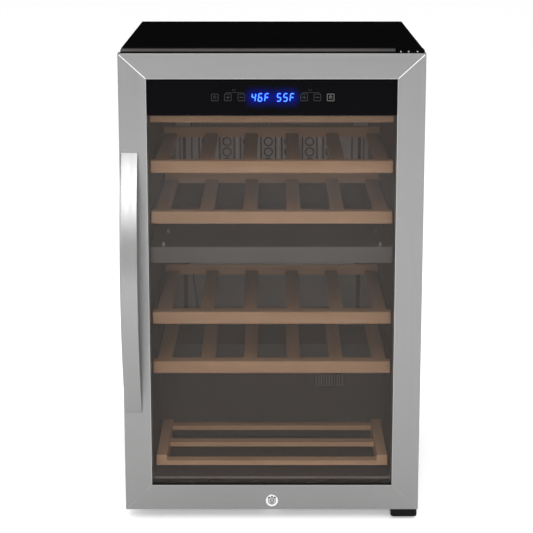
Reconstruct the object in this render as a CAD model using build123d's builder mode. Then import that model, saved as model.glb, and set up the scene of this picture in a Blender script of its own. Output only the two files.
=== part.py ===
"""Two-zone wine cooler, free-standing, with a glass door hinged on its right.

Millimetres, +Z up, the door faces -Y. The origin is on the floor, under the middle of the
whole cooler. Depths are measured backwards from the front face of the door.
"""

import os
from math import cos, radians, sin

from build123d import *

os.makedirs("parts", exist_ok=True)

# ---- driving dimensions ----
width = 500.0
cabinet_depth = 480.0
cabinet_top = 804.0
cabinet_bottom = 22.0
door_bottom = 20.0
door_top = 801.0
door_thickness = 45.0
door_gap = 12.0
handle_reach = 56.0

# ---- door frame and glass ----
stile_width = 45.5
top_rail = 41.5
bottom_rail = 44.0
channel_depth = 33.0
skin = 1.2
glass_front = 6.0
pane = 4.0
pane_spacing = 14.0
glass_overlap = 8.0
band_bottom = 700.0
hinge_x = 238.0
hinge_depth = 22.0
hinge_pin_radius = 4.0
running_clearance = 0.05
gasket_width = 17.0
gasket_top = 783.0
gasket_bottom = 26.0
gasket_half_width = 234.0

# ---- lock ----
lock_z = 36.3
lock_bezel_radius = 10.5
lock_body_radius = 8.5
lock_barrel_radius = 6.2
cam_depth = 40.0
cam_thickness = 2.5
cam_length = 25.0

# ---- cabinet walls ----
shell_sheet = 1.2
liner_sheet = 2.0
cavity_half_width = 207.0
cavity_floor = 59.0
cavity_top = 756.0
cavity_corner = 14.0
back_wall_depth = 470.0
rear_depth = 530.0
hump_top = 236.0
hump_depth = 275.0
hump_wall = 28.0

# ---- shelves ----
shelf_bottoms = (678.0, 592.0, 505.0, 329.5, 241.5)
shelf_front_depth = 70.0
shelf_bar_height = 21.5
shelf_bar_depth = 20.0
shelf_bar_half = 204.0
back_bar_half = 200.0
back_bar_height = 19.0
back_bar_rise = 8.5
back_bar_depth = 14.0
shelf_back_depth = 390.0
slat_width = 24.0
slat_pitch = 74.7
slat_count = 6
slat_thickness = 12.0
runner_height = 12.0

# ---- divider between the zones ----
divider_bottom = 438.6
divider_top = 467.1
divider_depth = 62.0
cover_depth = 408.0
cover_sheet = 2.0

# ---- bottom rack ----
rack_bar_height = 8.4
rack_bar_depth = 20.0
rack_bar_depths = (75.0, 165.0, 251.0)
rack_bar_lows = (73.1, 75.9, 78.1)
rack_side_inner = 183.5
rack_side_outer = 201.5
rack_side_low = 73.1
rack_side_top = 92.0
rack_leg_inset = 6.0
rack_leg_front = 122.0
rack_front_depth = 75.0
rack_back_depth = 273.0

# ---- feet ----
foot_radius = 16.0
foot_stem_radius = 5.0
foot_stem_top = 42.0
foot_socket = 8.0
foot_x = 215.0
foot_front_depth = 92.0
foot_rear_depth = 505.0

total_depth = handle_reach + door_thickness + door_gap + cabinet_depth
door_front = -total_depth / 2 + handle_reach
flange_depth = door_thickness + door_gap
window_half = width / 2 - stile_width
window_bottom = door_bottom + bottom_rail
window_top = door_top - top_rail


def at_depth(depth):
    """Upright plane, parallel to the door, at a depth behind the door's front face."""
    return Plane.XZ.offset(-(door_front + depth))


def y_at(depth):
    """Y of a depth behind the door's front face."""
    return door_front + depth


def block(x_low, x_high, z_low, z_high, depth_low, depth_high, mode=Mode.ADD):
    """Straight block, given by its limits across, in height and in depth."""
    with BuildSketch(at_depth(depth_low)) as outline:
        with Locations(((x_low + x_high) / 2, (z_low + z_high) / 2)):
            Rectangle(x_high - x_low, z_high - z_low)
    extrude(outline.sketch, amount=-(depth_high - depth_low), mode=mode)


def ring(half_width, z_low, z_high, wall, depth_low, depth_high):
    """Rectangular picture-frame ring of one wall width."""
    middle = (0, (z_low + z_high) / 2)
    with BuildSketch(at_depth(depth_low)) as outline:
        with Locations(middle):
            Rectangle(2 * half_width, z_high - z_low)
            Rectangle(2 * (half_width - wall), z_high - z_low - 2 * wall, mode=Mode.SUBTRACT)
    extrude(outline.sketch, amount=-(depth_high - depth_low))


def disc(x, z, radius, depth_low, depth_high, mode=Mode.ADD):
    """Round bar that lies along Y."""
    with BuildSketch(at_depth(depth_low)) as outline:
        with Locations((x, z)):
            Circle(radius)
    extrude(outline.sketch, amount=-(depth_high - depth_low), mode=mode)


def post(x, depth, radius, z_low, z_high, mode=Mode.ADD):
    """Round bar that stands upright."""
    with BuildSketch(Plane.XY.offset(z_low)) as outline:
        with Locations((x, y_at(depth))):
            Circle(radius)
    extrude(outline.sketch, amount=z_high - z_low, mode=mode)


# =====================================================================
# Cabinet: outer skin, walls and liner
# =====================================================================

shell_corner = 4.0
inner_top = cabinet_top - shell_sheet
with BuildPart() as cabinet_shell:
    with BuildSketch(at_depth(flange_depth)) as shell_outline:
        with Locations((0, (cabinet_top + cabinet_bottom) / 2)):
            Rectangle(width, cabinet_top - cabinet_bottom)
        fillet(shell_outline.vertices().group_by(Axis.Y)[-1], shell_corner)
        with Locations((0, inner_top)):
            Rectangle(
                width - 2 * shell_sheet,
                2 * (inner_top - cabinet_bottom),
                align=(Align.CENTER, Align.MAX),
                mode=Mode.SUBTRACT,
            )
    extrude(amount=-cabinet_depth)
cabinet_shell.part.label = "cabinet_shell"
export_step(cabinet_shell.part, "parts/cabinet_shell.step")

inner_half = width / 2 - shell_sheet
tub_half = cavity_half_width + liner_sheet
tub_top = cavity_top + liner_sheet
tub_bottom = cavity_floor - liner_sheet
tub_back = back_wall_depth + liner_sheet
flange_margin = 0.3
cavity_middle = (0, (cavity_floor + cavity_top) / 2)

with BuildPart() as cavity_space:
    with BuildSketch(at_depth(flange_depth)):
        with Locations(cavity_middle):
            RectangleRounded(2 * cavity_half_width, cavity_top - cavity_floor, cavity_corner)
    extrude(amount=-(back_wall_depth - flange_depth))
    block(-width / 2, width / 2, 0, hump_top, hump_depth, back_wall_depth, mode=Mode.SUBTRACT)

with BuildPart() as inner_liner:
    block(
        -(inner_half - flange_margin),
        inner_half - flange_margin,
        cabinet_bottom + liner_sheet,
        inner_top - flange_margin,
        flange_depth,
        flange_depth + liner_sheet,
    )
    with BuildSketch(at_depth(flange_depth)):
        with Locations(cavity_middle):
            RectangleRounded(2 * tub_half, tub_top - tub_bottom, cavity_corner + liner_sheet)
    extrude(amount=-(tub_back - flange_depth))
    block(
        -tub_half,
        tub_half,
        tub_bottom,
        hump_top - liner_sheet,
        hump_depth + liner_sheet,
        tub_back,
        mode=Mode.SUBTRACT,
    )
    add(cavity_space.part, mode=Mode.SUBTRACT)
inner_liner.part.label = "inner_liner"
export_step(inner_liner.part, "parts/inner_liner.step")

# rigid foam between skin and liner: one slab for each wall, a hair apart
foam_seam = 0.2
foam_front = flange_depth + liner_sheet
foam_top = inner_top - flange_margin
foam_half = tub_half - foam_seam
hump_front = hump_depth + liner_sheet
hump_foam_depth = hump_front + hump_wall
hump_ceiling = hump_top - liner_sheet
hump_foam_bottom = hump_ceiling - hump_wall
tray_sheet = 2.0
foam_bottom = cabinet_bottom + tray_sheet
with BuildPart() as insulation_foam:
    for side in (-1, 1):
        edges = sorted((side * tub_half, side * (inner_half - foam_seam)))
        block(edges[0], edges[1], foam_bottom, foam_top, foam_front, rear_depth)
    block(-foam_half, foam_half, tub_top, foam_top, foam_front, rear_depth)
    block(-foam_half, foam_half, foam_bottom, tub_bottom, foam_front, hump_foam_depth)
    block(
        -foam_half,
        foam_half,
        tub_bottom + foam_seam,
        hump_foam_bottom - foam_seam,
        hump_front,
        hump_foam_depth,
    )
    block(-foam_half, foam_half, hump_foam_bottom, hump_ceiling, hump_front, rear_depth)
    block(
        -foam_half,
        foam_half,
        hump_ceiling + foam_seam,
        tub_top - foam_seam,
        tub_back,
        rear_depth,
    )
    for side in (-1, 1):
        for depth in (foot_front_depth, foot_rear_depth):
            post(side * foot_x, depth, foot_socket, foam_bottom, foot_stem_top + 2, mode=Mode.SUBTRACT)
insulation_foam.part.label = "insulation_foam"
export_step(insulation_foam.part, "parts/insulation_foam.step")

panel_sheet = 1.2
with BuildPart() as rear_panel:
    block(
        -(inner_half - flange_margin),
        inner_half - flange_margin,
        hump_foam_bottom,
        foam_top,
        rear_depth,
        rear_depth + panel_sheet,
    )
rear_panel.part.label = "rear_panel"
export_step(rear_panel.part, "parts/rear_panel.step")

# folded steel tray under the cabinet, with a hole for each foot's stem
with BuildPart() as base_tray:
    block(
        -(inner_half - flange_margin),
        inner_half - flange_margin,
        cabinet_bottom,
        cabinet_bottom + tray_sheet,
        flange_depth,
        rear_depth,
    )
    foot_places = [
        (side * foot_x, y_at(depth)) for side in (-1, 1) for depth in (foot_front_depth, foot_rear_depth)
    ]
    with BuildSketch(Plane.XY.offset(cabinet_bottom)):
        with Locations(foot_places):
            Circle(foot_stem_radius + running_clearance)
    extrude(amount=tray_sheet, mode=Mode.SUBTRACT)
base_tray.part.label = "base_tray"
export_step(base_tray.part, "parts/base_tray.step")

# =====================================================================
# Compressor bay, at the bottom of the rear
# =====================================================================

bay_top = hump_foam_bottom
bay_floor = cabinet_bottom + tray_sheet

louvre_length = 150.0
louvre_height = 4.0
louvre_pitch = 12.0
louvre_rows = 9
cover_half = 248.5
inlet_x = -160.0
inlet_z = 60.0
inlet_width = 48.0
inlet_height = 28.0
with BuildPart() as compressor_cover:
    block(-cover_half, cover_half, bay_floor, bay_top - 4, rear_depth, rear_depth + panel_sheet)
    with BuildSketch(at_depth(rear_depth)):
        with Locations((0, (bay_floor + bay_top) / 2 + 14)):
            with GridLocations(louvre_length + 20, louvre_pitch, 2, louvre_rows):
                SlotOverall(louvre_length, louvre_height)
    extrude(amount=-panel_sheet, mode=Mode.SUBTRACT)
    with BuildSketch(at_depth(rear_depth)):
        with Locations((inlet_x, inlet_z)):
            Rectangle(inlet_width + 0.4, inlet_height + 0.4)
    extrude(amount=-panel_sheet, mode=Mode.SUBTRACT)
compressor_cover.part.label = "compressor_cover"
export_step(compressor_cover.part, "parts/compressor_cover.step")

# inlet for the mains lead: a body with a recess and three pins
inlet_depth = 26.0
inlet_wall = 4.0
inlet_rear = rear_depth + panel_sheet + 2
with BuildPart() as power_inlet:
    block(
        inlet_x - inlet_width / 2,
        inlet_x + inlet_width / 2,
        inlet_z - inlet_height / 2,
        inlet_z + inlet_height / 2,
        inlet_rear - inlet_depth,
        inlet_rear,
    )
    block(
        inlet_x - inlet_width / 2 + inlet_wall,
        inlet_x + inlet_width / 2 - inlet_wall,
        inlet_z - inlet_height / 2 + inlet_wall,
        inlet_z + inlet_height / 2 - inlet_wall,
        inlet_rear - inlet_depth + inlet_wall,
        inlet_rear,
        mode=Mode.SUBTRACT,
    )
    for pin_x in (-9, 0, 9):
        block(
            inlet_x + pin_x - 1,
            inlet_x + pin_x + 1,
            inlet_z - 3,
            inlet_z + 3,
            inlet_rear - inlet_depth + inlet_wall / 2,
            inlet_rear - 6,
        )
power_inlet.part.label = "power_inlet"
export_step(power_inlet.part, "parts/power_inlet.step")

# hermetic compressor: a domed can on a four-legged base plate
can_x = 70.0
can_depth = 420.0
can_radius = 62.0
can_bottom = bay_floor + 26
can_height = 118.0
leg_x = 78.0
leg_y = 58.0
base_plate = 3.0
bush_height = can_bottom - bay_floor
leg_places = [
    (can_x + sx * leg_x, y_at(can_depth) + sy * leg_y) for sx in (-1, 1) for sy in (-1, 1)
]
with BuildPart() as compressor:
    post(can_x, can_depth, can_radius, can_bottom, can_bottom + can_height)
    fillet(compressor.edges().filter_by(GeomType.CIRCLE), 24)
    with BuildSketch(Plane.XY.offset(can_bottom)):
        with Locations((can_x, y_at(can_depth))):
            RectangleRounded(2 * leg_x + 28, 2 * leg_y + 28, 12)
        with Locations(leg_places):
            Circle(8, mode=Mode.SUBTRACT)
    extrude(amount=base_plate)
compressor.part.label = "compressor"
export_step(compressor.part, "parts/compressor.step")

with BuildPart() as compressor_mounts:
    for place_x, place_y in leg_places:
        with BuildSketch(Plane.XY.offset(bay_floor)):
            with Locations((place_x, place_y)):
                Circle(12)
        extrude(amount=bush_height)
        with BuildSketch(Plane.XY.offset(can_bottom)):
            with Locations((place_x, place_y)):
                Circle(8)
        extrude(amount=base_plate + 4)
compressor_mounts.part.label = "compressor_mounts"
export_step(compressor_mounts.part, "parts/compressor_mounts.step")

# condenser: one tube folded back and forth beside the compressor
tube_radius = 2.5
tube_pitch = 16.0
tube_runs = 9
condenser_near = -185.0
condenser_far = -40.0
condenser_depth = 470.0
condenser_bottom = 46.0
condenser_points = []
for row in range(tube_runs):
    row_z = condenser_bottom + row * tube_pitch
    ends = (condenser_near, condenser_far) if row % 2 == 0 else (condenser_far, condenser_near)
    condenser_points += [(ends[0], row_z), (ends[1], row_z)]
with BuildPart() as condenser_coil:
    with BuildLine(at_depth(condenser_depth)) as condenser_path:
        FilletPolyline(*condenser_points, radius=tube_pitch * 0.45)
    start = condenser_path.line
    with BuildSketch(Plane(origin=start @ 0, z_dir=start % 0)):
        Circle(tube_radius)
    sweep(path=start)
condenser_coil.part.label = "condenser_coil"
export_step(condenser_coil.part, "parts/condenser_coil.step")

# =====================================================================
# Inside the cavity: divider, air covers, cooling, lights, slides
# =====================================================================

side_play = 0.3
divider_half = cavity_half_width - side_play
trim_depth = 6.0
with BuildPart() as zone_divider:
    block(
        -divider_half,
        divider_half,
        divider_bottom + 1,
        divider_top - 1,
        divider_depth + trim_depth,
        back_wall_depth - side_play,
    )
zone_divider.part.label = "zone_divider"
export_step(zone_divider.part, "parts/zone_divider.step")

with BuildPart() as divider_trim:
    block(
        -divider_half + 3,
        divider_half - 3,
        divider_bottom,
        divider_top,
        divider_depth,
        divider_depth + trim_depth,
    )
    fillet(divider_trim.edges().filter_by(Axis.X).group_by(Axis.Y)[0], 2)
divider_trim.part.label = "divider_trim"
export_step(divider_trim.part, "parts/divider_trim.step")

cover_margin = 3.0
upper_cover_bottom = divider_top + side_play
lower_cover_top = divider_bottom - side_play
punch_radius = 4.0
punch_pitch_x = 42.5
punch_pitch_z = 19.5
punch_columns = 7
punch_rows = 12
punch_middle_z = 626.0
slot_x = 150.0
slot_width = 8.0
slot_height = 150.0
cover_edge = cavity_half_width - cover_margin
cover_back = cover_depth + cover_sheet
with BuildPart() as air_covers:
    block(-cover_edge, cover_edge, upper_cover_bottom, cavity_top - cavity_corner, cover_depth, cover_back)
    with BuildSketch(at_depth(cover_depth)):
        with Locations((0, punch_middle_z)):
            with GridLocations(punch_pitch_x, punch_pitch_z, punch_columns, punch_rows):
                Circle(punch_radius)
    extrude(amount=-cover_sheet, mode=Mode.SUBTRACT)
    block(-cover_edge, cover_edge, hump_top + side_play, lower_cover_top, cover_depth, cover_back)
    with BuildSketch(at_depth(cover_depth)):
        with Locations((0, (hump_top + lower_cover_top) / 2)):
            with GridLocations(2 * slot_x, 1, 2, 1):
                SlotOverall(slot_height, slot_width, rotation=90)
    extrude(amount=-cover_sheet, mode=Mode.SUBTRACT)
air_covers.part.label = "air_covers"
export_step(air_covers.part, "parts/air_covers.step")

# roll-bond evaporator plates with a row of cooling fins, one behind each cover
fin_count = 24
fin_pitch = 12.0
evaporator_low = (hump_top + 20, divider_top + 20)
evaporator_height = 90.0
with BuildPart() as evaporator_coils:
    for zone_bottom in evaporator_low:
        block(-150, 150, zone_bottom, zone_bottom + evaporator_height, 440, 442)
        with BuildSketch(Plane.XY.offset(zone_bottom)):
            with Locations((0, y_at(454))):
                with GridLocations(fin_pitch, 1, fin_count, 1):
                    Rectangle(1, 24.4)
        extrude(amount=evaporator_height)
evaporator_coils.part.label = "evaporator_coils"
export_step(evaporator_coils.part, "parts/evaporator_coils.step")

# circulation fans: a square frame with a spider and pin, and a bladed rotor on the pin
fan_size = 92.0
fan_bore = 43.0
fan_front = 414.0
fan_thickness = 22.0
fan_pin_radius = 2.0
spider_thickness = 3.0
hub_radius = 16.0
blade_count = 7
blade_tip = 41.0
fan_heights = {"upper": 690.0, "lower": 385.0}
with BuildPart() as fan_frames:
    for fan_z in fan_heights.values():
        with BuildSketch(at_depth(fan_front)):
            with Locations((0, fan_z)):
                RectangleRounded(fan_size, fan_size, 5)
                Circle(fan_bore, mode=Mode.SUBTRACT)
        extrude(amount=-fan_thickness)
        with BuildSketch(at_depth(fan_front + fan_thickness - spider_thickness)):
            with Locations((0, fan_z)):
                Rectangle(2 * fan_bore + 2, 5)
                Rectangle(5, 2 * fan_bore + 2)
                Circle(hub_radius)
        extrude(amount=-spider_thickness)
        disc(0, fan_z, fan_pin_radius, fan_front + 4, fan_front + fan_thickness)
fan_frames.part.label = "fan_frames"
export_step(fan_frames.part, "parts/fan_frames.step")

hub_front = fan_front + 1
hub_back = fan_front + fan_thickness - spider_thickness - 0.5
blade_tilt = 35.0
blade_chord = 15.0
blade_thickness = 1.6
for zone, fan_z in fan_heights.items():
    with BuildPart() as fan_rotor:
        disc(0, fan_z, hub_radius, hub_front, hub_back)
        disc(
            0,
            fan_z,
            fan_pin_radius + running_clearance,
            hub_front + 2,
            hub_back,
            mode=Mode.SUBTRACT,
        )
        for blade in range(blade_count):
            angle = 360 / blade_count * blade
            direction = Vector(1, 0, 0).rotate(Axis.Y, angle)
            across = Vector(0, 0, 1).rotate(Axis.Y, angle)
            chord = across * cos(radians(blade_tilt)) + Vector(0, sin(radians(blade_tilt)), 0)
            origin = Vector(0, y_at((hub_front + hub_back) / 2), fan_z) + direction * (hub_radius - 1)
            with BuildSketch(Plane(origin=origin, x_dir=chord, z_dir=direction)):
                RectangleRounded(blade_chord, blade_thickness, 0.7)
            extrude(amount=blade_tip - hub_radius + 1)
    fan_rotor.part.label = f"{zone}_fan_rotor"
    export_step(fan_rotor.part, f"parts/{zone}_fan_rotor.step")

# =====================================================================
# Slides, lights and vent inside the cavity
# =====================================================================

ledge_sheet = 1.5
ledge_width = 8.0
ledge_height = 16.0
slide_front = 92.0
slide_back = 400.0
with BuildPart() as slide_rails:
    for shelf_bottom in shelf_bottoms:
        for side in (-1, 1):
            wall_x = side * cavity_half_width
            ledge = sorted((wall_x, side * (cavity_half_width - ledge_width)))
            upright = sorted((wall_x, side * (cavity_half_width - ledge_sheet)))
            block(ledge[0], ledge[1], shelf_bottom, shelf_bottom + ledge_sheet, slide_front, slide_back)
            block(
                upright[0],
                upright[1],
                shelf_bottom,
                shelf_bottom + ledge_height,
                slide_front,
                slide_back,
            )
slide_rails.part.label = "slide_rails"
export_step(slide_rails.part, "parts/slide_rails.step")

light_half = 140.0
light_depth = 90.0
light_size = 10.0
with BuildPart() as light_bars:
    for ceiling in (cavity_top, divider_bottom + 1):
        block(
            -light_half, light_half, ceiling - light_size, ceiling, light_depth, light_depth + light_size
        )
light_bars.part.label = "light_bars"
export_step(light_bars.part, "parts/light_bars.step")

vent_x = 106.0
vent_z = 172.0
vent_width = 58.0
vent_height = 42.0
vent_proud = 3.0
vent_slots = 8
with BuildPart() as vent_grille:
    block(
        vent_x - vent_width / 2,
        vent_x + vent_width / 2,
        vent_z - vent_height / 2,
        vent_z + vent_height / 2,
        hump_depth - vent_proud,
        hump_depth,
    )
    with BuildSketch(at_depth(hump_depth - vent_proud)):
        with Locations((vent_x, vent_z)):
            with GridLocations(6, 1, vent_slots, 1):
                SlotOverall(vent_height - 12, 3, rotation=90)
    extrude(amount=-(vent_proud - 1), mode=Mode.SUBTRACT)
vent_grille.part.label = "vent_grille"
export_step(vent_grille.part, "parts/vent_grille.step")

# =====================================================================
# Hinges
# =====================================================================

screw_head_radius = 4.0
screw_head = 2.2
screw_radius = 2.0
tab_thickness = 2.5
bracket_left = 204.0
bracket_right = 249.0
upper_plate_bottom = door_top + 0.5
upper_plate_top = cabinet_top
tab_bottom = gasket_top + 2
with BuildPart() as upper_hinge_bracket:
    with BuildSketch(Plane.XY.offset(upper_plate_bottom)) as upper_plate:
        with Locations((bracket_left, y_at(flange_depth))):
            Rectangle(
                bracket_right - bracket_left,
                flange_depth - hinge_depth + 9,
                align=(Align.MIN, Align.MAX),
            )
        fillet(upper_plate.vertices().group_by(Axis.Y)[0], 8)
    extrude(amount=upper_plate_top - upper_plate_bottom)
    block(
        bracket_left,
        bracket_right,
        tab_bottom,
        upper_plate_top,
        flange_depth - tab_thickness,
        flange_depth,
    )
    post(hinge_x, hinge_depth, hinge_pin_radius, door_top - 14, upper_plate_top)
    tab_middle_z = (tab_bottom + upper_plate_bottom) / 2
    tab_screw_x = (bracket_left + 9, bracket_right - 9)
    for screw_x in tab_screw_x:
        disc(
            screw_x,
            tab_middle_z,
            screw_radius,
            flange_depth - tab_thickness,
            flange_depth,
            mode=Mode.SUBTRACT,
        )
upper_hinge_bracket.part.label = "upper_hinge_bracket"
export_step(upper_hinge_bracket.part, "parts/upper_hinge_bracket.step")

lower_block_bottom = 5.0
lower_block_top = door_bottom - 0.4
lower_block_depth = 4.0
lower_plate_thickness = 3.0
lower_plate_back = flange_depth + 17
with BuildPart() as lower_hinge_bracket:
    with BuildSketch(Plane.XY.offset(lower_block_bottom)) as lower_plate:
        with Locations((bracket_left, y_at(flange_depth))):
            Rectangle(
                bracket_right - bracket_left,
                flange_depth - lower_block_depth,
                align=(Align.MIN, Align.MAX),
            )
        fillet(lower_plate.vertices().group_by(Axis.Y)[0], 6)
    extrude(amount=lower_block_top - lower_block_bottom)
    fillet(lower_hinge_bracket.faces().sort_by(Axis.Z)[0].edges().group_by(Axis.Y)[0], 2)
    block(
        bracket_left,
        bracket_right,
        cabinet_bottom - lower_plate_thickness,
        cabinet_bottom,
        flange_depth + side_play,
        lower_plate_back,
    )
    block(
        bracket_left,
        bracket_right,
        cabinet_bottom - 2 * lower_plate_thickness,
        lower_block_top,
        flange_depth - lower_plate_thickness,
        flange_depth + lower_plate_thickness,
    )
    post(hinge_x, hinge_depth, hinge_pin_radius, lower_block_top, door_bottom + 14)
lower_hinge_bracket.part.label = "lower_hinge_bracket"
export_step(lower_hinge_bracket.part, "parts/lower_hinge_bracket.step")

lower_screw_depth = lower_plate_back - 7
with BuildPart() as hinge_screws:
    for screw_x in tab_screw_x:
        disc(
            screw_x,
            tab_middle_z,
            screw_head_radius,
            flange_depth - tab_thickness - screw_head,
            flange_depth - tab_thickness,
        )
        disc(screw_x, tab_middle_z, screw_radius, flange_depth - tab_thickness, flange_depth)
    fillet(hinge_screws.edges().filter_by(GeomType.CIRCLE).group_by(Axis.Y)[0], 1.2)
    for screw_x in tab_screw_x:
        head_top = cabinet_bottom - lower_plate_thickness
        post(screw_x, lower_screw_depth, screw_head_radius, head_top - screw_head, head_top)
hinge_screws.part.label = "hinge_screws"
export_step(hinge_screws.part, "parts/hinge_screws.step")

bush_radius = 6.5
bush_length = 15.0
with BuildPart() as hinge_bushes:
    for low, high in ((door_top - bush_length, door_top), (door_bottom, door_bottom + bush_length)):
        post(hinge_x, hinge_depth, bush_radius, low, high)
        post(hinge_x, hinge_depth, hinge_pin_radius + running_clearance, low, high, mode=Mode.SUBTRACT)
hinge_bushes.part.label = "hinge_bushes"
export_step(hinge_bushes.part, "parts/hinge_bushes.step")

# =====================================================================
# Door: folded stainless channel, mitred at the corners
# =====================================================================

half = width / 2
edge_round = 2.0
inner_bevel = 1.0
rail_outline = {
    "top": ((-half, door_top), (half, door_top), (window_half, window_top), (-window_half, window_top)),
    "bottom": (
        (-half, door_bottom),
        (-window_half, window_bottom),
        (window_half, window_bottom),
        (half, door_bottom),
    ),
}
rail_pocket = {
    "top": (-half - 9, half + 9, window_top + skin, door_top - skin),
    "bottom": (-half - 9, half + 9, door_bottom + skin, window_bottom - skin),
}
glass_seat = {
    "top": (-half, half, window_top - 9, window_top + skin + 9),
    "bottom": (-half, half, window_bottom - skin - 9, window_bottom + 9),
}
handle_x = -233.5
handle_z = 416.0
handle_length = 448.0
handle_foot = 26.0
handle_screw_z = [handle_z + side * (handle_length / 2 - handle_foot / 2) for side in (-1, 1)]
handle_screw_radius = 2.0

with BuildPart() as door_rails:
    for place in ("top", "bottom"):
        with BuildSketch(at_depth(0)):
            with BuildLine():
                Polyline(*rail_outline[place], close=True)
            make_face()
        extrude(amount=-channel_depth)
    bevel_edges = door_rails.edges().filter_by(Axis.X).group_by(Axis.Y)[0].sort_by(Axis.Z)[1:3]
    chamfer(bevel_edges, inner_bevel)
    for place in ("top", "bottom"):
        low_x, high_x, low_z, high_z = rail_pocket[place]
        block(low_x, high_x, low_z, high_z, skin, channel_depth, mode=Mode.SUBTRACT)
        low_x, high_x, low_z, high_z = glass_seat[place]
        block(low_x, high_x, low_z, high_z, glass_front, channel_depth, mode=Mode.SUBTRACT)
    for low, high in ((door_top - skin, door_top), (door_bottom, door_bottom + skin)):
        post(hinge_x, hinge_depth, bush_radius, low, high, mode=Mode.SUBTRACT)
    disc(0, lock_z, lock_body_radius, 0, skin, mode=Mode.SUBTRACT)
door_rails.part.label = "door_rails"
export_step(door_rails.part, "parts/door_rails.step")

with BuildPart() as door_stiles:
    for side in (-1, 1):
        with BuildSketch(at_depth(0)):
            with BuildLine():
                Polyline(
                    (side * half, door_bottom),
                    (side * half, door_top),
                    (side * window_half, window_top),
                    (side * window_half, window_bottom),
                    close=True,
                )
            make_face()
        extrude(amount=-channel_depth)
    front_edges = door_stiles.edges().filter_by(Axis.Z).group_by(Axis.Y)[0].sort_by(Axis.X)
    chamfer(front_edges[1:3], inner_bevel)
    outer_edges = door_stiles.edges().filter_by(Axis.Z).group_by(Axis.Y)[0].sort_by(Axis.X)
    fillet([outer_edges[0], outer_edges[-1]], edge_round)
    for side in (-1, 1):
        pocket = sorted((side * (half - skin), side * (window_half + skin)))
        block(pocket[0], pocket[1], 0, cabinet_top, edge_round, channel_depth, mode=Mode.SUBTRACT)
        seat = sorted((side * (half - skin), side * (window_half - 9)))
        block(seat[0], seat[1], 0, cabinet_top, glass_front, channel_depth, mode=Mode.SUBTRACT)
    for screw_z in handle_screw_z:
        disc(handle_x, screw_z, handle_screw_radius, 0, edge_round, mode=Mode.SUBTRACT)
door_stiles.part.label = "door_stiles"
export_step(door_stiles.part, "parts/door_stiles.step")

glass_half = window_half + glass_overlap
glass_low = window_bottom - glass_overlap
glass_high = window_top + glass_overlap
inner_glass_front = glass_front + pane + pane_spacing
inner_glass_back = inner_glass_front + pane
with BuildPart() as glass_outer:
    block(-glass_half, glass_half, glass_low, glass_high, glass_front, glass_front + pane)
glass_outer.part.label = "glass_outer"
export_step(glass_outer.part, "parts/glass_outer.step")

unit_top = band_bottom + 7.0
with BuildPart() as glass_inner:
    block(-glass_half, glass_half, glass_low, unit_top, inner_glass_front, inner_glass_back)
glass_inner.part.label = "glass_inner"
export_step(glass_inner.part, "parts/glass_inner.step")

spacer_wall = glass_overlap - 1.0
with BuildPart() as glass_spacer:
    ring(glass_half, glass_low, unit_top, spacer_wall, glass_front + pane, inner_glass_front)
glass_spacer.part.label = "glass_spacer"
export_step(glass_spacer.part, "parts/glass_spacer.step")

# moulded frame that closes the back of the door; a pocket in it leaves room for the lock's cam
frame_half = half - 1.5
frame_low = door_bottom + 1.5
frame_high = door_top - 1.5
opening_half = window_half + 1.0
opening_low = window_bottom - 1.0
opening_high = band_bottom - 5.0
pocket_low_x = -31.0
pocket_high_x = 12.0
pocket_high_z = lock_z + 12
with BuildPart() as door_inner_frame:
    block(-frame_half, frame_half, frame_low, frame_high, channel_depth, door_thickness)
    block(
        -glass_half,
        glass_half,
        glass_low,
        unit_top,
        inner_glass_back,
        channel_depth,
    )
    block(
        -opening_half,
        opening_half,
        opening_low,
        opening_high,
        inner_glass_back,
        door_thickness,
        mode=Mode.SUBTRACT,
    )
    block(
        pocket_low_x,
        pocket_high_x,
        frame_low,
        pocket_high_z,
        cam_depth - 1.5,
        door_thickness,
        mode=Mode.SUBTRACT,
    )
    disc(0, lock_z, lock_body_radius, channel_depth, cam_depth, mode=Mode.SUBTRACT)
door_inner_frame.part.label = "door_inner_frame"
export_step(door_inner_frame.part, "parts/door_inner_frame.step")

with BuildPart() as door_gasket:
    ring(
        gasket_half_width,
        gasket_bottom,
        gasket_top,
        gasket_width,
        door_thickness,
        flange_depth - side_play,
    )
door_gasket.part.label = "door_gasket"
export_step(door_gasket.part, "parts/door_gasket.step")

# control housing behind the top of the outer glass, open to the front
housing_wall = 2.0
housing_half = glass_half
housing_bottom = unit_top + 1.0
housing_top = glass_high
with BuildPart() as control_housing:
    block(
        -housing_half, housing_half, housing_bottom, housing_top, glass_front + pane, channel_depth
    )
    block(
        -housing_half + housing_wall,
        housing_half - housing_wall,
        housing_bottom + housing_wall,
        housing_top - housing_wall,
        glass_front + pane,
        channel_depth - housing_wall,
        mode=Mode.SUBTRACT,
    )
control_housing.part.label = "control_housing"
export_step(control_housing.part, "parts/control_housing.step")

# circuit board with a display block and six touch pads against the glass
board_front = glass_front + pane + 6
board_z = 729.0
pad_x = (-93.0, -71.7, -49.7, 52.5, 74.0, 95.7)
pad_size = 11.0
display_width = 72.0
display_height = 15.0
with BuildPart() as display_board:
    block(-150, 150, board_z - 18, board_z + 18, board_front, board_front + 1.6)
    block(
        -display_width / 2,
        display_width / 2,
        board_z - display_height / 2,
        board_z + display_height / 2,
        glass_front + pane,
        board_front,
    )
    for x in pad_x:
        block(
            x - pad_size / 2,
            x + pad_size / 2,
            board_z - pad_size / 2,
            board_z + pad_size / 2,
            glass_front + pane,
            board_front,
        )
display_board.part.label = "display_board"
export_step(display_board.part, "parts/display_board.step")

# =====================================================================
# Handle: flat strap, bowed away from the door
# =====================================================================

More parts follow.
